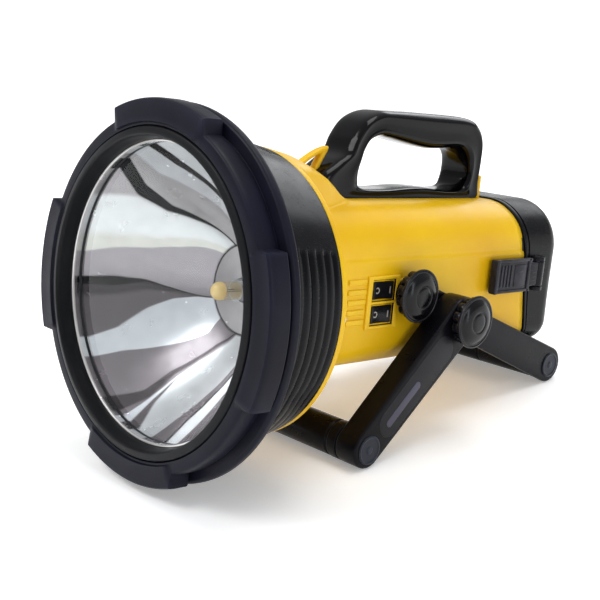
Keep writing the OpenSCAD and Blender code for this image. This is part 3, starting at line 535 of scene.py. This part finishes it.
class LAMP_OT_reflector(bpy.types.Operator):
    """Metallised parabolic dish with its flat bulb plate"""
    bl_idname = "lamp.reflector"
    bl_label = "Reflector"

    def execute(self, context):
        focal, vertex = 28.4, 83.81
        plate_r, rim_r = 28, 86
        depth = lambda r: vertex - r * r / (4 * focal)
        flat = depth(plate_r)
        radii = [plate_r + (rim_r - plate_r) * k / 56 for k in range(57)]
        front = [(7.8, flat), (10, flat), (16, flat), (22, flat), (26.6, flat), (27.4, flat - 0.1)]
        front += [(r, depth(r)) for r in radii]
        # the sleeve that runs forward from the dish, its front edge and its flange
        front += [(85.6, 18.2), (85.5, 15.0), (85.5, 12.4), (85.5, 11.6), (85.5, 11.0), (85.8, 10.6),
                  (86.5, 10.6), (86.6, 11.2), (86.7, 17.3), (89.4, 17.3), (89.4, 18.6), (87.6, 18.7)]
        back = [(r + 1.0, depth(r) + 1.2) for r in radii[::-8]] + [(7.8, flat + 1.4)]
        bm = lathe(front + back, steps=720)
        piece = make("reflector_dish", bm, HEAD, "chrome", "lamp",
                     ["reflector"])
        to_head = HEAD.inverted()
        # painted reflections: the dish's bands by angle and radius, with the plate's tone, a dark ring where
        # plate meets dish and a pale front edge
        reflection_paint = piece.data.attributes.new("painted_reflection", "FLOAT_COLOR", "POINT")
        plate, line, rim = (Vector(srgb(code)[:3]) for code in ("DAD3D2", "3C3638", "ECEAE8"))
        for v in piece.data.vertices:
            p = to_head @ v.co
            r, turn = math.hypot(p.x, p.z), math.degrees(math.atan2(p.z, p.x)) % 360
            tone = dish_reflection(r, turn) if r > 27 else plate
            tone = tone.lerp(line, smooth(26.5, 27.2, r) * (1 - smooth(27.6, 29.2, r)))
            tone = tone.lerp(rim, 1 - smooth(11.4, 12.6, p.y))
            reflection_paint.data[v.index].color = (*tone, 1.0)
        return {"FINISHED"}


class LAMP_OT_bulb(bpy.types.Operator):
    """Amber-tipped bulb with its coiled filament and posts"""
    bl_idname = "lamp.bulb"
    bl_label = "Bulb"

    def execute(self, context):
        tip, plate = 53.2, 76.9
        glass = lathe([(0.001, tip), (1.8, tip + 0.35), (3.4, tip + 1.3), (4.7, tip + 2.9),
                       (5.35, tip + 4.6), (5.5, tip + 6.6), (5.5, plate - 7), (5.3, plate - 6),
                       (0.001, plate - 6)], steps=48, closed=False)
        make("bulb_envelope", glass, HEAD, "amber", "lamp", ["bulb_glass"])
        cap = lathe([(0.001, tip - 0.3), (2.4, tip + 0.2), (4.2, tip + 1.5), (5.3, tip + 3.2),
                     (5.7, tip + 5.2), (5.6, tip + 6.4), (4.9, tip + 6.2), (4.6, tip + 4.4),
                     (0.001, tip + 1.2)], steps=48, closed=False)
        make("bulb_tip_coat", cap, HEAD, "tip", "lamp")
        coil = skin(10, 120, lambda u, j: Vector((
            (j / 120 - 0.5) * 5,
            tip + 6 + (1.1 + 0.22 * math.cos(u * math.tau)) * math.cos(j / 120 * math.tau * 8),
            (1.1 + 0.22 * math.cos(u * math.tau)) * math.sin(j / 120 * math.tau * 8)
            + 0.22 * math.sin(u * math.tau))))
        posts = [block((x - 0.3, tip + 6, -0.3), (x + 0.3, plate - 6, 0.3), 0.1, 2) for x in (-2.8, 2.8)]
        make("bulb_filament", coil, HEAD, "filament", "lamp")
        make("bulb_posts", joined(*posts), HEAD, "steel", "lamp")
        for node, look in (("bulb_base", "steel"), ("bulb_holder", "ceramic"), ("bulb_clip", "steel"),
                           ("bulb_leads", "wire")):
            paint(node, look)
        return {"FINISHED"}


class LAMP_OT_collar(bpy.types.Operator):
    """Black collar: stepped rings below, smooth raised panel with vents on top"""
    bl_idname = "lamp.collar"
    bl_label = "Collar"

    def execute(self, context):
        front, back = 24.3, NECK_Y
        pitch = context.scene.lamp_sizes.ring_pitch / MM
        cone = lambda y: 97.3 + (87.6 - 97.3) * (y - front) / (back - front)
        vent_half, vent_front, vent_back, slat_pitch, slat_depth = 28, 46, 71.5, 4.25, 1.5
        count = 110
        outer = [(cone(front + (back - front) * k / count), front + (back - front) * k / count)
                 for k in range(count + 1)]
        inner = [(78.6, back), (78.6, back - 6), (84.6, back - 9), (92.4, front + 8), (88.4, front + 5),
                 (88.4, 19), (89.9, 19), (89.9, front)]
        bm = lathe(outer + inner, steps=360)
        for v in bm.verts:
            r = math.hypot(v.co.x, v.co.z)
            if r < cone(v.co.y) - 0.5 or not front - 0.01 <= v.co.y <= back + 0.01:
                continue
            rise = math.degrees(math.atan2(v.co.z, abs(v.co.x)))
            panel = smooth(23.6, 24.6, rise)
            step = (v.co.y - front) / pitch
            part, end = step % 1, min(back, front + pitch * (math.floor(step) + 1))
            terrace = cone(end) + 0.5 * math.sin(math.pi * min(part / 0.86, 1)) - 0.55 * smooth(
                0.84, 0.90, part) * (1 - smooth(0.95, 1.0, part))
            top = cone(v.co.y) - 0.12
            if abs(v.co.x) < vent_half and vent_front < v.co.y < vent_back and v.co.z > 0:
                slat = ((v.co.y - vent_front) / slat_pitch) % 1
                top -= slat_depth * smooth(0.42, 0.52, slat) * (1 - smooth(0.90, 1.0, slat))
            if v.co.y < front + 1.2 or v.co.y > back - 1.0:
                terrace = min(terrace, cone(v.co.y) - 0.5)
                top -= 0.5
            size = terrace + (top - terrace) * panel
            v.co.x *= size / r
            v.co.z *= size / r
        make("collar", bm, HEAD, "collar", "lamp", ["head_collar"], sharp=28)
        paint("collar_screws", "steel")
        return {"FINISHED"}


# ---- Body -------------------------------------------------------------------------------

def section_radius(turn, grow=0.0):
    """Distance from the long axis to the body's section, a box with round corners."""
    c, s = math.cos(turn), math.sin(turn)
    w, top, low = SIDE_X + grow, BODY_TOP + grow, BODY_LOW + grow

    def outside(r):
        x, z = abs(r * c), r * s
        corner = (32 if z > 0 else 14) + grow
        dx, dz = x - (w - corner), (z - (top - corner) if z > 0 else -z - (low - corner))
        if dx > 0 and dz > 0:
            return math.hypot(dx, dz) > corner
        return x > w or z > top or -z > low

    a, b = 0.0, 130.0
    for _ in range(26):
        mid = (a + b) / 2
        a, b = (a, mid) if outside(mid) else (mid, b)
    return a


NECK_TOP = [(73.9, 87.4), (77.2, 87.4), (78.2, 87.0), (90, 85.3), (101.6, 81.8), (110.5, 78.2),
            (119.7, 72.7), (130, 65.6), (140.4, 57.6), (152, 46), (170, 20)]
NECK_SIDE = [(73.9, 87.4), (77.2, 87.4), (78.0, 86.2), (80, 80.5), (84, 72), (90, 64), (97, 57),
             (104, 50.5), (112, 43), (125, 30)]


def body_point(turn, y, section):
    """A point of the body's skin at an angle and a place along its axis."""
    side = abs(math.degrees(turn) - 90)
    crest = 1 - smooth(22, 40, side)
    neck = along(NECK_SIDE, y) + (along(NECK_TOP, y) - along(NECK_SIDE, y)) * crest
    r = soft_max(section, neck, 6.0) if y > 77.3 else neck
    p = Vector((r * math.cos(turn), y, r * math.sin(turn)))
    # the upper part of each side stands back a little above its step line
    if y > 100:
        ledge = smooth(25.6, 26.8, p.z) * (1 - smooth(30, 46, p.z)) * smooth(100, 118, y)
        p.x -= math.copysign(0.9 * ledge, p.x) if abs(p.x) > 30 else 0
    tilt = math.radians(-HEAD_RISE) * (1 - smooth(80, JOIN_Y, y))
    turned = Matrix.Rotation(tilt, 3, "X") @ (p - Vector((0, JOIN_Y, 0))) + Vector((0, JOIN_Y, 0))
    return turned


class LAMP_OT_body(bpy.types.Operator):
    """Yellow body: flange, sloping neck and box, with ribs and the pivot bosses"""
    bl_idname = "lamp.body"
    bl_label = "Body"

    def execute(self, context):
        columns = 432
        places = [73.9, 74.2, 75.2, 76.4, 77.0, 77.3, 77.7, 78.2, 78.8, 79.6, 80.6, 82, 83.6, 85.4, 87.4]
        places += [89.4 + 2.3 * k for k in range(32)]
        rows = len(places) + 26
        sections = [section_radius(math.tau * k / columns) for k in range(columns + 1)]
        lean = math.tan(math.radians(BACK_LEAN))

        def place(u, j):
            turn, section = u * math.tau, sections[round(u * columns)]
            if j < len(places):
                return body_point(turn, places[j], section)
            last = places[-1]
            end = BACK_Y + 1.4 - section * math.sin(turn) * lean
            return body_point(turn, last + (end - last) * (j - len(places) + 1) / 27, section)

        piece = make("body_shell", skin(columns, rows, place), BODY, "yellow", "lamp",
                     ["neck_flange", "body_right_shell", "body_left_shell"])
        wall = piece.modifiers.new("Wall", "SOLIDIFY")
        wall.thickness, wall.offset = SHELL_WALL * MM, -1
        rib_count, rib_top, rib_pitch, rib_half = 5, 13.4, 6.2, 1.7
        boss_r = 9.8     # clears the rockers when they are pressed
        parts = []
        for side in (1, -1):
            for k in range(rib_count):
                z = rib_top - rib_pitch * k
                rib = block((50.8, 113.9, z - rib_half), (53.3, 129.6, z + rib_half), 0.8)
                parts.append(on_side(rib, side))
            boss = lathe(rounded([(0.01, 0, 0), (boss_r, 0, 0), (boss_r, 2.0, 0.6), (0.01, 2.0, 0)]), 96)
            boss.transform(Matrix.Translation((50.8, *PIVOT_1)) @ ABOUT_X)
            parts.append(on_side(boss, side))
        make("body_ribs", joined(*parts), BODY, "yellow", "lamp")
        heel = block((-13, 278.9, 58.4), (13, 282.2, 75), 1.2, 4)
        make("handle_heel_rib", heel, BODY, "yellow", "lamp", ["handle_heel"])
        outer = [(111.0, 74.5), (113, 79.5), (120, 84.2), (128, 88.2), (135.6, 90.4), (136.6, 88.6),
                 (133.4, 83.4), (129.6, 76.2), (127.6, 70.4), (121, 70.2)]
        inner = [(115.4, 76.6), (117.2, 78.8), (121, 81.2), (125.4, 83.6), (129.0, 85.0), (129.2, 84.0),
                 (127.8, 81.4), (125.8, 77.8), (124.2, 75.4), (119, 75.2)]

        def loop(u, j):
            at, a = u * len(outer), j / 20 * math.tau
            out, inn = spline(outer, at), spline(inner, at)
            reach, wide = math.cos(a), math.sin(a)
            p = (out + inn) / 2 + (out - inn) / 2 * math.copysign(abs(reach) ** 0.7, reach)
            return Vector((2.9 * math.copysign(abs(wide) ** 0.7, wide), p.x, p.y))

        make("strap_loop", skin(160, 20, loop), BODY, "yellow", "lamp",
             ["strap_lug"])
        paint("latch_strikes", "yellow")
        return {"FINISHED"}


class LAMP_OT_switches(bpy.types.Operator):
    """Raised frame, wells and two rocker switches with generic marks"""
    bl_idname = "lamp.switches"
    bl_label = "Switches"

    def execute(self, context):
        y0, y1, z0, z1 = 130.6, 159.0, -16.6, 16.6
        wy0, wy1 = 134.6, 155.2
        wells = [(0.6, 14.2), (-14.5, -0.9)]
        bars = [block((51, y0, z0), (53.6, wy0, z1), 0.7), block((51, wy1, z0), (53.6, y1, z1), 0.7),
                block((51, wy0 - 1, wells[0][1]), (53.6, wy1 + 1, z1), 0.7),
                block((51, wy0 - 1, wells[1][1]), (53.6, wy1 + 1, wells[0][0]), 0.5),
                block((51, wy0 - 1, z0), (53.6, wy1 + 1, wells[1][0]), 0.7)]
        make("switch_frame", joined(*bars), BODY, "yellow", "lamp")
        tubs = []
        for low, high in wells:
            bm = block((38, wy0 - 0.2, low - 0.1), (53.2, wy1 + 0.2, high + 0.1), 0.3, 2)
            mouth = max(bm.faces, key=lambda f: f.calc_center_median().x)
            bmesh.ops.inset_region(bm, faces=[mouth], thickness=1.2, depth=0)
            bmesh.ops.translate(bm, vec=(-5.5, 0, 0), verts=mouth.verts)
            tubs.append(bm)
        make("switch_wells", joined(*tubs), BODY, "switch", "lamp",
             ["switch_housings"])
        mid, face, lean, hollow = 144.8, 52.4, 0.028, 0.010    # of a rocker
        lift = lambda y: face + lean * (y - mid) + hollow * (y - mid) ** 2
        for name, body, z in (("upper", "upper_switch", 7.4), ("lower", "lower_switch", -7.7)):
            cap = block((45, mid - 8.7, z - 5.6), (face, mid + 8.7, z + 5.6), 0.7, 3)
            bmesh.ops.subdivide_edges(cap, edges=[e for e in cap.edges if abs(
                e.verts[0].co.y - e.verts[1].co.y) > 10], cuts=11, use_grid_fill=True)
            for v in cap.verts:
                if v.co.x > 48:
                    v.co.x += lean * (v.co.y - mid) + hollow * (v.co.y - mid) ** 2
            make("rocker_" + name + "_cap", cap, BODY, "switch", body,
                 ["rocker_" + name])
            bar_mark = block((lift(150.6) - 0.3, 150.2, z - 2.2),
                             (lift(150.6) + 0.09, 151.2, z + 2.2), 0.1, 2)
            ring = lathe([(1.3, -0.3), (2.0, -0.3), (2.0, 0.3), (1.3, 0.3)], 32)
            ring.transform(Matrix.Translation((lift(139.6) - 0.2, 139.6, z)) @ ABOUT_X)
            make("rocker_" + name + "_marks", joined(bar_mark, ring), BODY, "mark", body)
        paint("charging_inlet", "switch")
        return {"FINISHED"}


HANDLE_OUT = [(119, 57.4), (120, 67), (124, 73.6), (136.5, 82), (145.4, 88.2), (150.4, 98),
              (159, 108.4), (171, 114), (185, 115), (225, 115.3), (262, 114.4), (274, 109.4),
              (279.6, 100), (279.8, 87), (278.8, 70), (278.4, 57.4), (250, 56.4), (215, 56.4),
              (180, 56.4), (145, 56.4)]
HANDLE_IN = [(158.8, 67), (157.4, 70.6), (156.8, 74), (156.3, 78), (156.5, 82), (158.5, 89),
             (163, 94.8), (172, 98.2), (183, 97.4), (222, 92), (248, 93), (258, 91.2), (264, 86),
             (266, 79), (264.8, 71.4), (259.5, 66), (245, 64.6), (215, 66.2), (185, 64.6), (165, 64.8)]


class LAMP_OT_handle(bpy.types.Operator):
    """Carrying handle, a closed loop round its finger window"""
    bl_idname = "lamp.handle"
    bl_label = "Handle"

    def execute(self, context):
        half = context.scene.lamp_sizes.handle_width / MM / 2
        around, cut = 400, 56

        def place(u, j):
            at = u * len(HANDLE_OUT)
            out, inn = spline(HANDLE_OUT, at), spline(HANDLE_IN, at)
            a = j / cut * math.tau
            c, s = math.cos(a), math.sin(a)
            power = 0.52
            across = math.copysign(abs(s) ** power, s)
            reach = math.copysign(abs(c) ** power, c)
            # a shallow flat band round the side catches the light along its rim
            band = 1 - 0.055 * smooth(0.0, 0.22, 0.55 - abs(reach))
            p = (out + inn) / 2 + (out - inn) / 2 * reach
            return Vector((half * across * band, p.x, p.y))

        make("handle_grip", skin(around, cut, place), BODY, "handle", "lamp",
             ["handle"], sharp=50)
        return {"FINISHED"}


class LAMP_OT_rear_cover(bpy.types.Operator):
    """Black rear cover with a rounded back and a step round its front edge"""
    bl_idname = "lamp.rear_cover"
    bl_label = "Rear cover"

    def execute(self, context):
        columns, edge, proud = 288, 15.0, 1.2
        lean = math.tan(math.radians(BACK_LEAN))
        sections = [section_radius(math.tau * k / columns, proud) for k in range(columns + 1)]
        # rows: along the wall, round the back corner, across the back
        wall = [0, 0.03, 0.06, 0.09, 0.11, 0.115, 0.16, 0.165, 0.2, 0.4, 0.6, 0.8]
        bend = [k / 14 for k in range(15)]
        flat = [k / 12 for k in range(1, 13)]
        rows = len(wall) + len(bend) + len(flat) - 1

        def place(u, j):
            turn, section = u * math.tau, sections[round(u * columns)]
            c, s = math.cos(turn), math.sin(turn)
            start = BACK_Y + 2 - section * s * lean
            curve = COVER_Y - edge
            if j < len(wall):
                r = section - (0.9 if 0.112 < wall[j] < 0.162 else 0) - (0.5 if wall[j] == 0 else 0)
                return Vector((r * c, start + (curve - start) * wall[j], r * s))
            j -= len(wall)
            if j < len(bend):
                a = bend[j] * math.pi / 2
                r = section - edge * (1 - math.cos(a))
                return Vector((r * c, curve + edge * math.sin(a), r * s))
            part = flat[j - len(bend)]
            r = (section - edge) * (1 - part)
            dip = 0.9 * smooth(0.14, 0.17, part)
            return Vector((r * c, COVER_Y - dip, r * s))

        shell = skin(columns, rows, place)
        piece = make("rear_cover_shell", shell, BODY, "cover", "back_cover",
                     ["rear_cover"])
        thick = piece.modifiers.new("Wall", "SOLIDIFY")
        thick.thickness, thick.offset = COVER_WALL * MM, -1
        hinges = []
        for side in (1, -1):
            for z in (-1.0, 20.0):
                hub = lathe(rounded([(0.01, 0, 0), (5.4, 0, 0), (5.4, 3, 0.7), (0.01, 3, 0)]), 48)
                hub.transform(Matrix.Translation((55, 302, z)) @ Matrix.Rotation(math.pi / 2, 4, "X"))
                foot = block((48, 299, z), (55.4, 309, z + 3), 0.7)
                hinges += [on_side(hub, side), on_side(foot, side)]
        make("latch_hinges", joined(*hinges), BODY, "cover", "back_cover")
        paint("cover_seal", "seal")
        return {"FINISHED"}


class LAMP_OT_latches(bpy.types.Operator):
    """Swinging latches with a raised rim, grip ribs and a thumb lip"""
    bl_idname = "lamp.latches"
    bl_label = "Latches"

    def execute(self, context):
        for side, name in ((1, "right"), (-1, "left")):
            plate = block((54.0, 249.2, -0.8), (58.6, 292, 22.8), 1.2, 4)
            rim = [block((57.6, 249.2, z), (59.4, 291, z + 2.2), 0.6) for z in (-0.8, 20.6)]
            lip = block((54.6, 249.0, -0.9), (60.4, 252.6, 22.9), 1.0, 4)
            step = block((57.8, 286.6, -0.8), (59.4, 289.4, 22.8), 0.6)
            ribs = [block((58.0, 256 + 3.6 * k, 3.4), (59.3, 257.7 + 3.6 * k, 18.6), 0.5) for k in range(4)]
            pad = block((57.8, 271.4, 3.2), (59.1, 284.4, 18.8), 0.6)
            neck = block((54.0, 288, 2.4), (59.0, 302.4, 19.6), 1.2, 4)
            barrel = lathe(rounded([(1.95, 0, 0.2), (5.4, 0, 0.7), (5.4, 17.2, 0.7), (1.95, 17.2, 0.2)]), 64)
            barrel.transform(Matrix.Translation((55, 302, 2.4)) @ Matrix.Rotation(math.pi / 2, 4, "X"))
            bm = on_side(joined(plate, *rim, lip, step, *ribs, pad, neck, barrel), side)
            make("latch_" + name + "_arm", bm, BODY, "latch", name + "_latch",
                 ["latch_" + name])
            paint("latch_pin_" + name, "steel")
        return {"FINISHED"}


# ---- Stand ------------------------------------------------------------------------------

FRAME_IN, FRAME_OUT, LEG_IN, LEG_OUT = 53.2, 58.0, 58.3, 76.0


class LAMP_OT_stand_arms(bpy.types.Operator):
    """Flat frame arms and thick leg arms with their recessed panels and strips"""
    bl_idname = "lamp.stand_arms"
    bl_label = "Stand arms"

    def execute(self, context):
        for side, name in ((1, "right"), (-1, "left")):
            mirror = LEFT if side < 0 else Matrix.Identity(4)
            arm = bar(PIVOT_1, FRAME_FOOT, 10.5, 13, FRAME_IN, FRAME_OUT, 1.6)
            arm.transform(mirror)
            make("frame_arm_%s_bar" % name, arm, BODY, "stand", "stand_frame",
                 ["frame_arm_" + name])
            leg = bar(PIVOT_2, LEG_FOOT, 14.5, 12, LEG_IN, LEG_OUT, 2.2)
            leg.transform(mirror)
            make("leg_arm_%s_bar" % name, leg, BODY, "stand", "stand_leg",
                 ["leg_arm_" + name])
            # a slightly raised panel down the leg's outer face, and a strip at its lower third
            a, b = Vector(PIVOT_2), Vector(LEG_FOOT)
            face = bar(a.lerp(b, 0.25), a.lerp(b, 0.80), 9.6, 9.0, LEG_OUT - 1, LEG_OUT + 0.25, 0.35)
            face.transform(mirror)
            make("leg_panel_" + name, face, BODY, "panel", "stand_leg")
            strip = bar(a.lerp(b, 0.52), a.lerp(b, 0.80), 2.6, 2.6, LEG_OUT - 1, LEG_OUT + 0.5, 0.25)
            strip.transform(mirror)
            make("leg_strip_" + name, strip, BODY, "stripe", "stand_leg")
        return {"FINISHED"}


class LAMP_OT_crossbars(bpy.types.Operator):
    """Round crossbars with moulded collars where they enter the arms"""
    bl_idname = "lamp.crossbars"
    bl_label = "Crossbars"

    def execute(self, context):
        for name, body, at, half in (("frame", "stand_frame", FRAME_FOOT, FRAME_IN),
                                     ("leg", "stand_leg", LEG_FOOT, LEG_IN)):
            r = 11.9
            profile = [(0.01, -half, 0), (r, -half, 0.4), (r, 7 - half, 0.4), (r - 1.0, 7.6 - half, 0.3),
                       (r - 1.0, 8.8 - half, 0.3), (r - 0.2, 9.6 - half, 0.4), (r - 0.2, -1.2, 0.3),
                       (r - 0.8, -0.7, 0.2), (r - 0.8, 0.7, 0.2)]
            profile += [(q, -y, f) for q, y, f in reversed(profile[:7])]
            tube = lathe(rounded(profile, 3), 96)
            tube.transform(Matrix.Translation((0, *at)) @ ABOUT_X)
            make(name + "_crossbar_tube", tube, BODY, "stand", body,
                 [name + "_crossbar"])
            caps = []
            edge = FRAME_OUT if name == "frame" else LEG_OUT
            for side in (1, -1):
                disc = lathe(rounded([(0.01, -2.6, 0), (4.9, -2.6, 0.2), (4.9, 0.02, 0), (9, 0.02, 0.2),
                                      (9, 0.7, 0.4), (7.9, 1.0, 0.3), (7.2, 0.45, 0.3), (2.6, 0.4, 0.3),
                                      (2.0, 0.85, 0.3), (0.01, 0.95, 0)], 3), 72)
                disc.transform(Matrix.Translation((edge, *at)) @ ABOUT_X)
                caps.append(on_side(disc, side))
            make("foot_discs_" + name, joined(*caps), BODY, "cap", body,
                 ["foot_caps_" + name])
        return {"FINISHED"}


class LAMP_OT_knobs(bpy.types.Operator):
    """Clamping knobs: lobed barrel, undercut and smooth domed cap"""
    bl_idname = "lamp.knobs"
    bl_label = "Knobs"

    def execute(self, context):
        lobes = context.scene.lamp_sizes.knob_lobes
        # rows of (radius, height, share of the lobes)
        rows = [(7.0, 0.0, 0), (12.0, 0.0, 0), (14.6, 0.1, 1), (15.2, 0.6, 1), (15.4, 2.2, 1), (15.4, 4.0, 1),
                (15.2, 4.9, 1), (14.4, 5.3, 0.6), (13.6, 5.5, 0.2), (13.6, 5.9, 0), (16.2, 6.0, 0),
                (16.8, 6.3, 0), (17.0, 6.9, 0), (16.9, 7.5, 0), (16.4, 7.9, 0), (15.9, 8.0, 0),
                (15.5, 7.7, 0), (15.1, 7.6, 0), (14.3, 7.8, 0), (13.6, 8.4, 0), (12.4, 9.2, 0),
                (10.8, 9.9, 0), (8.8, 10.4, 0), (7.4, 10.6, 0), (6.9, 10.5, 0), (6.6, 10.2, 0),
                (6.2, 10.2, 0), (5.6, 10.6, 0), (4.2, 10.85, 0), (2.2, 11.0, 0), (0.0, 11.0, 0)]
        for part, at, x, where in (("frame", PIVOT_1, FRAME_OUT + 0.3, "frame_knob_"),
                                   ("leg", PIVOT_2, LEG_OUT + 0.3, "leg_knob_")):
            for side, name in ((1, "right"), (-1, "left")):
                def place(u, j):
                    r, h, share = rows[j]
                    wave = abs(math.sin(u * math.pi * lobes)) ** 0.45
                    r -= share * 2.4 * (1 - wave)
                    return Vector((x + h, at[0] + r * math.cos(u * math.tau),
                                   at[1] + r * math.sin(u * math.tau)))
                bm = on_side(skin(lobes * 24, len(rows) - 1, place), side)
                make("knob_%s_%s_grip" % (part, name), bm, BODY, "knob", where + name,
                     ["knob_%s_%s" % (part, name)])
                paint("knob_insert_%s_%s" % (part, name), "brass")
        return {"FINISHED"}


# ---- Pieces that keep their own mesh ----------------------------------------------------

def paint(node, look):
    """Gives a frame piece that keeps its mesh its finish."""
    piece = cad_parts[node]
    material = finish_of(look)
    if not piece.material_slots:
        piece.data.materials.append(material)
    for entry in piece.material_slots:
        entry.material = material


class LAMP_OT_inner_parts(bpy.types.Operator):
    """Battery, wiring, screws and bolts"""
    bl_idname = "lamp.inner_parts"
    bl_label = "Inner parts"

    def execute(self, context):
        for node, look in (("battery", "battery"), ("battery_pads", "foam"), ("wiring", "wire"),
                           ("battery_terminals", "brass"), ("shell_screws", "steel"),
                           ("handle_screws", "steel"), ("pivot_bolts", "steel"), ("leg_bolts", "steel")):
            paint(node, look)
        return {"FINISHED"}


# ---- Stage ------------------------------------------------------------------------------

CAMERA_ANGLES = (47.09, 15.54, -0.32)       # turn, lift and roll in degrees
CAMERA_FROM = (486.66, -329.09, 158.79)     # from the centre of the lens
CAMERA_LENS = 64.71


class LAMP_OT_stage(bpy.types.Operator):
    """Pale floor, soft studio light and the camera"""
    bl_idname = "lamp.stage"
    bl_label = "Stage"

    def execute(self, context):
        scene = context.scene
        scene.view_settings.view_transform = "Standard"
        bm = bmesh.new()
        bmesh.ops.create_grid(bm, x_segments=24, y_segments=24, size=60)
        for v in bm.verts:   # the far edge rises like a paper sweep
            v.co.z = 8 * smooth(30, 55, max(abs(v.co.x), abs(v.co.y)))
        mesh = bpy.data.meshes.new("floor")
        bm.to_mesh(mesh)
        bm.free()
        floor = bpy.data.objects.new("floor", mesh)
        scene.collection.objects.link(floor)
        material, tree, place = blank("Pale paper floor")
        paper = span(tree, noise(tree, place, 3.0), 0.3, 0.7, 0.93, 0.97)
        base = add(tree, "ShaderNodeCombineColor", {"Red": paper, "Green": paper, "Blue": paper})
        # painted light: the sheet glows, faintly near the lamp and more away from it, so it reads white far
        # off and darker round the lamp
        far = add(tree, "ShaderNodeVectorMath", {0: place}, operation="LENGTH").outputs["Value"]
        painted_glow = span(tree, far, 0.15, 1.2, 0.26, 0.62)
        surface = add(tree, "ShaderNodeBsdfPrincipled", {
            "Base Color": base.outputs["Color"], "Roughness": 0.8,
            "Emission Color": (1, 1, 1, 1), "Emission Strength": painted_glow})
        add(tree, "ShaderNodeOutputMaterial", {"Surface": surface.outputs["BSDF"]})
        mesh.materials.append(material)

        world = bpy.data.worlds.new("Studio")
        scene.world = world
        world.use_nodes = True
        sky = world.node_tree
        sky.nodes.clear()
        # darker low down, so that gloss has something to show
        up = add(sky, "ShaderNodeSeparateXYZ", {0: add(sky, "ShaderNodeTexCoord").outputs["Generated"]})
        height = span(sky, up.outputs["Z"], 0.0, 0.7, 0.36, 0.60)
        back = add(sky, "ShaderNodeBackground", {"Color": (0.97, 0.98, 1.0, 1), "Strength": height})
        add(sky, "ShaderNodeOutputWorld", {"Surface": back.outputs["Background"]})

        for name, at, size, power, tint in (
                ("key", (-0.5, -1.1, 1.5), (1.0, 0.7), 14, (1, 1, 1)),
                ("overhead", (0.1, 0.25, 1.6), (1.0, 0.7), 10, (1, 1, 1)),
                ("side_right", (1.6, 0.1, 0.5), (0.25, 1.1), 4.0, (0.88, 0.92, 1.0)),
                ("rim_back", (-0.4, 1.5, 0.9), (1.2, 0.5), 5, (0.95, 0.97, 1.0))):
            light = bpy.data.lights.new(name, "AREA")
            light.shape, light.size, light.size_y = "RECTANGLE", size[0], size[1]
            light.energy, light.color = power, tint
            lamp = bpy.data.objects.new(name, light)
            lamp.location = at
            lamp.rotation_euler = (Vector((0, -0.05, 0.1)) - Vector(at)).to_track_quat("-Z", "Y").to_euler()
            scene.collection.objects.link(lamp)

        turn, lift, roll = (math.radians(a) for a in CAMERA_ANGLES)
        away = Vector((math.sin(turn) * math.cos(lift), -math.cos(turn) * math.cos(lift), math.sin(lift)))
        right = (-away).cross(Vector((0, 0, 1))).normalized()
        down = (-away).cross(right)
        right, down = (math.cos(roll) * right + math.sin(roll) * down,
                       math.cos(roll) * down - math.sin(roll) * right)
        lens_centre = Vector((0, ROW_Y + 0.449, BODY_Z + 3.458))
        camera = bpy.data.objects.new("camera", bpy.data.cameras.new("camera"))
        camera.data.lens, camera.data.sensor_width = CAMERA_LENS, 36
        camera.data.clip_start, camera.data.clip_end = 0.01, 100
        turned = Matrix((right, -down, away)).transposed()
        camera.matrix_world = (Matrix.Translation((lens_centre + Vector(CAMERA_FROM)) * MM)
                               @ turned.to_4x4())
        scene.collection.objects.link(camera)
        scene.camera = camera
        return {"FINISHED"}


PIECES = (LAMP_OT_bumper, LAMP_OT_bezel, LAMP_OT_reflector, LAMP_OT_bulb, LAMP_OT_collar,
          LAMP_OT_body, LAMP_OT_switches, LAMP_OT_handle, LAMP_OT_rear_cover, LAMP_OT_latches,
          LAMP_OT_stand_arms, LAMP_OT_crossbars, LAMP_OT_knobs, LAMP_OT_inner_parts, LAMP_OT_stage)


class LAMP_PT_panel(bpy.types.Panel):
    """Sizes, colours and pieces of the lamp"""
    bl_label = "Hand lamp"
    bl_idname = "LAMP_PT_panel"
    bl_space_type = "VIEW_3D"
    bl_region_type = "UI"
    bl_category = "Hand lamp"

    def draw(self, context):
        for group in (context.scene.lamp_sizes, context.scene.lamp_colours):
            for key in group.__annotations__:
                self.layout.prop(group, key)
        for piece in PIECES:
            self.layout.operator(piece.bl_idname)


def register():
    for cls in (LampSizes, LampColours, *PIECES, LAMP_PT_panel):
        bpy.utils.register_class(cls)
    bpy.types.Scene.lamp_sizes = PointerProperty(type=LampSizes)
    bpy.types.Scene.lamp_colours = PointerProperty(type=LampColours)


def unregister():
    del bpy.types.Scene.lamp_sizes
    del bpy.types.Scene.lamp_colours
    for cls in reversed((LampSizes, LampColours, *PIECES, LAMP_PT_panel)):
        bpy.utils.unregister_class(cls)


def main():
    register()
    for piece in PIECES:
        group, name = piece.bl_idname.split(".")
        if getattr(getattr(bpy.ops, group), name)() != {"FINISHED"}:
            raise RuntimeError("the operator " + piece.bl_idname + " did not finish")
    bpy.context.view_layer.update()


if __name__ == "__main__":
    main()
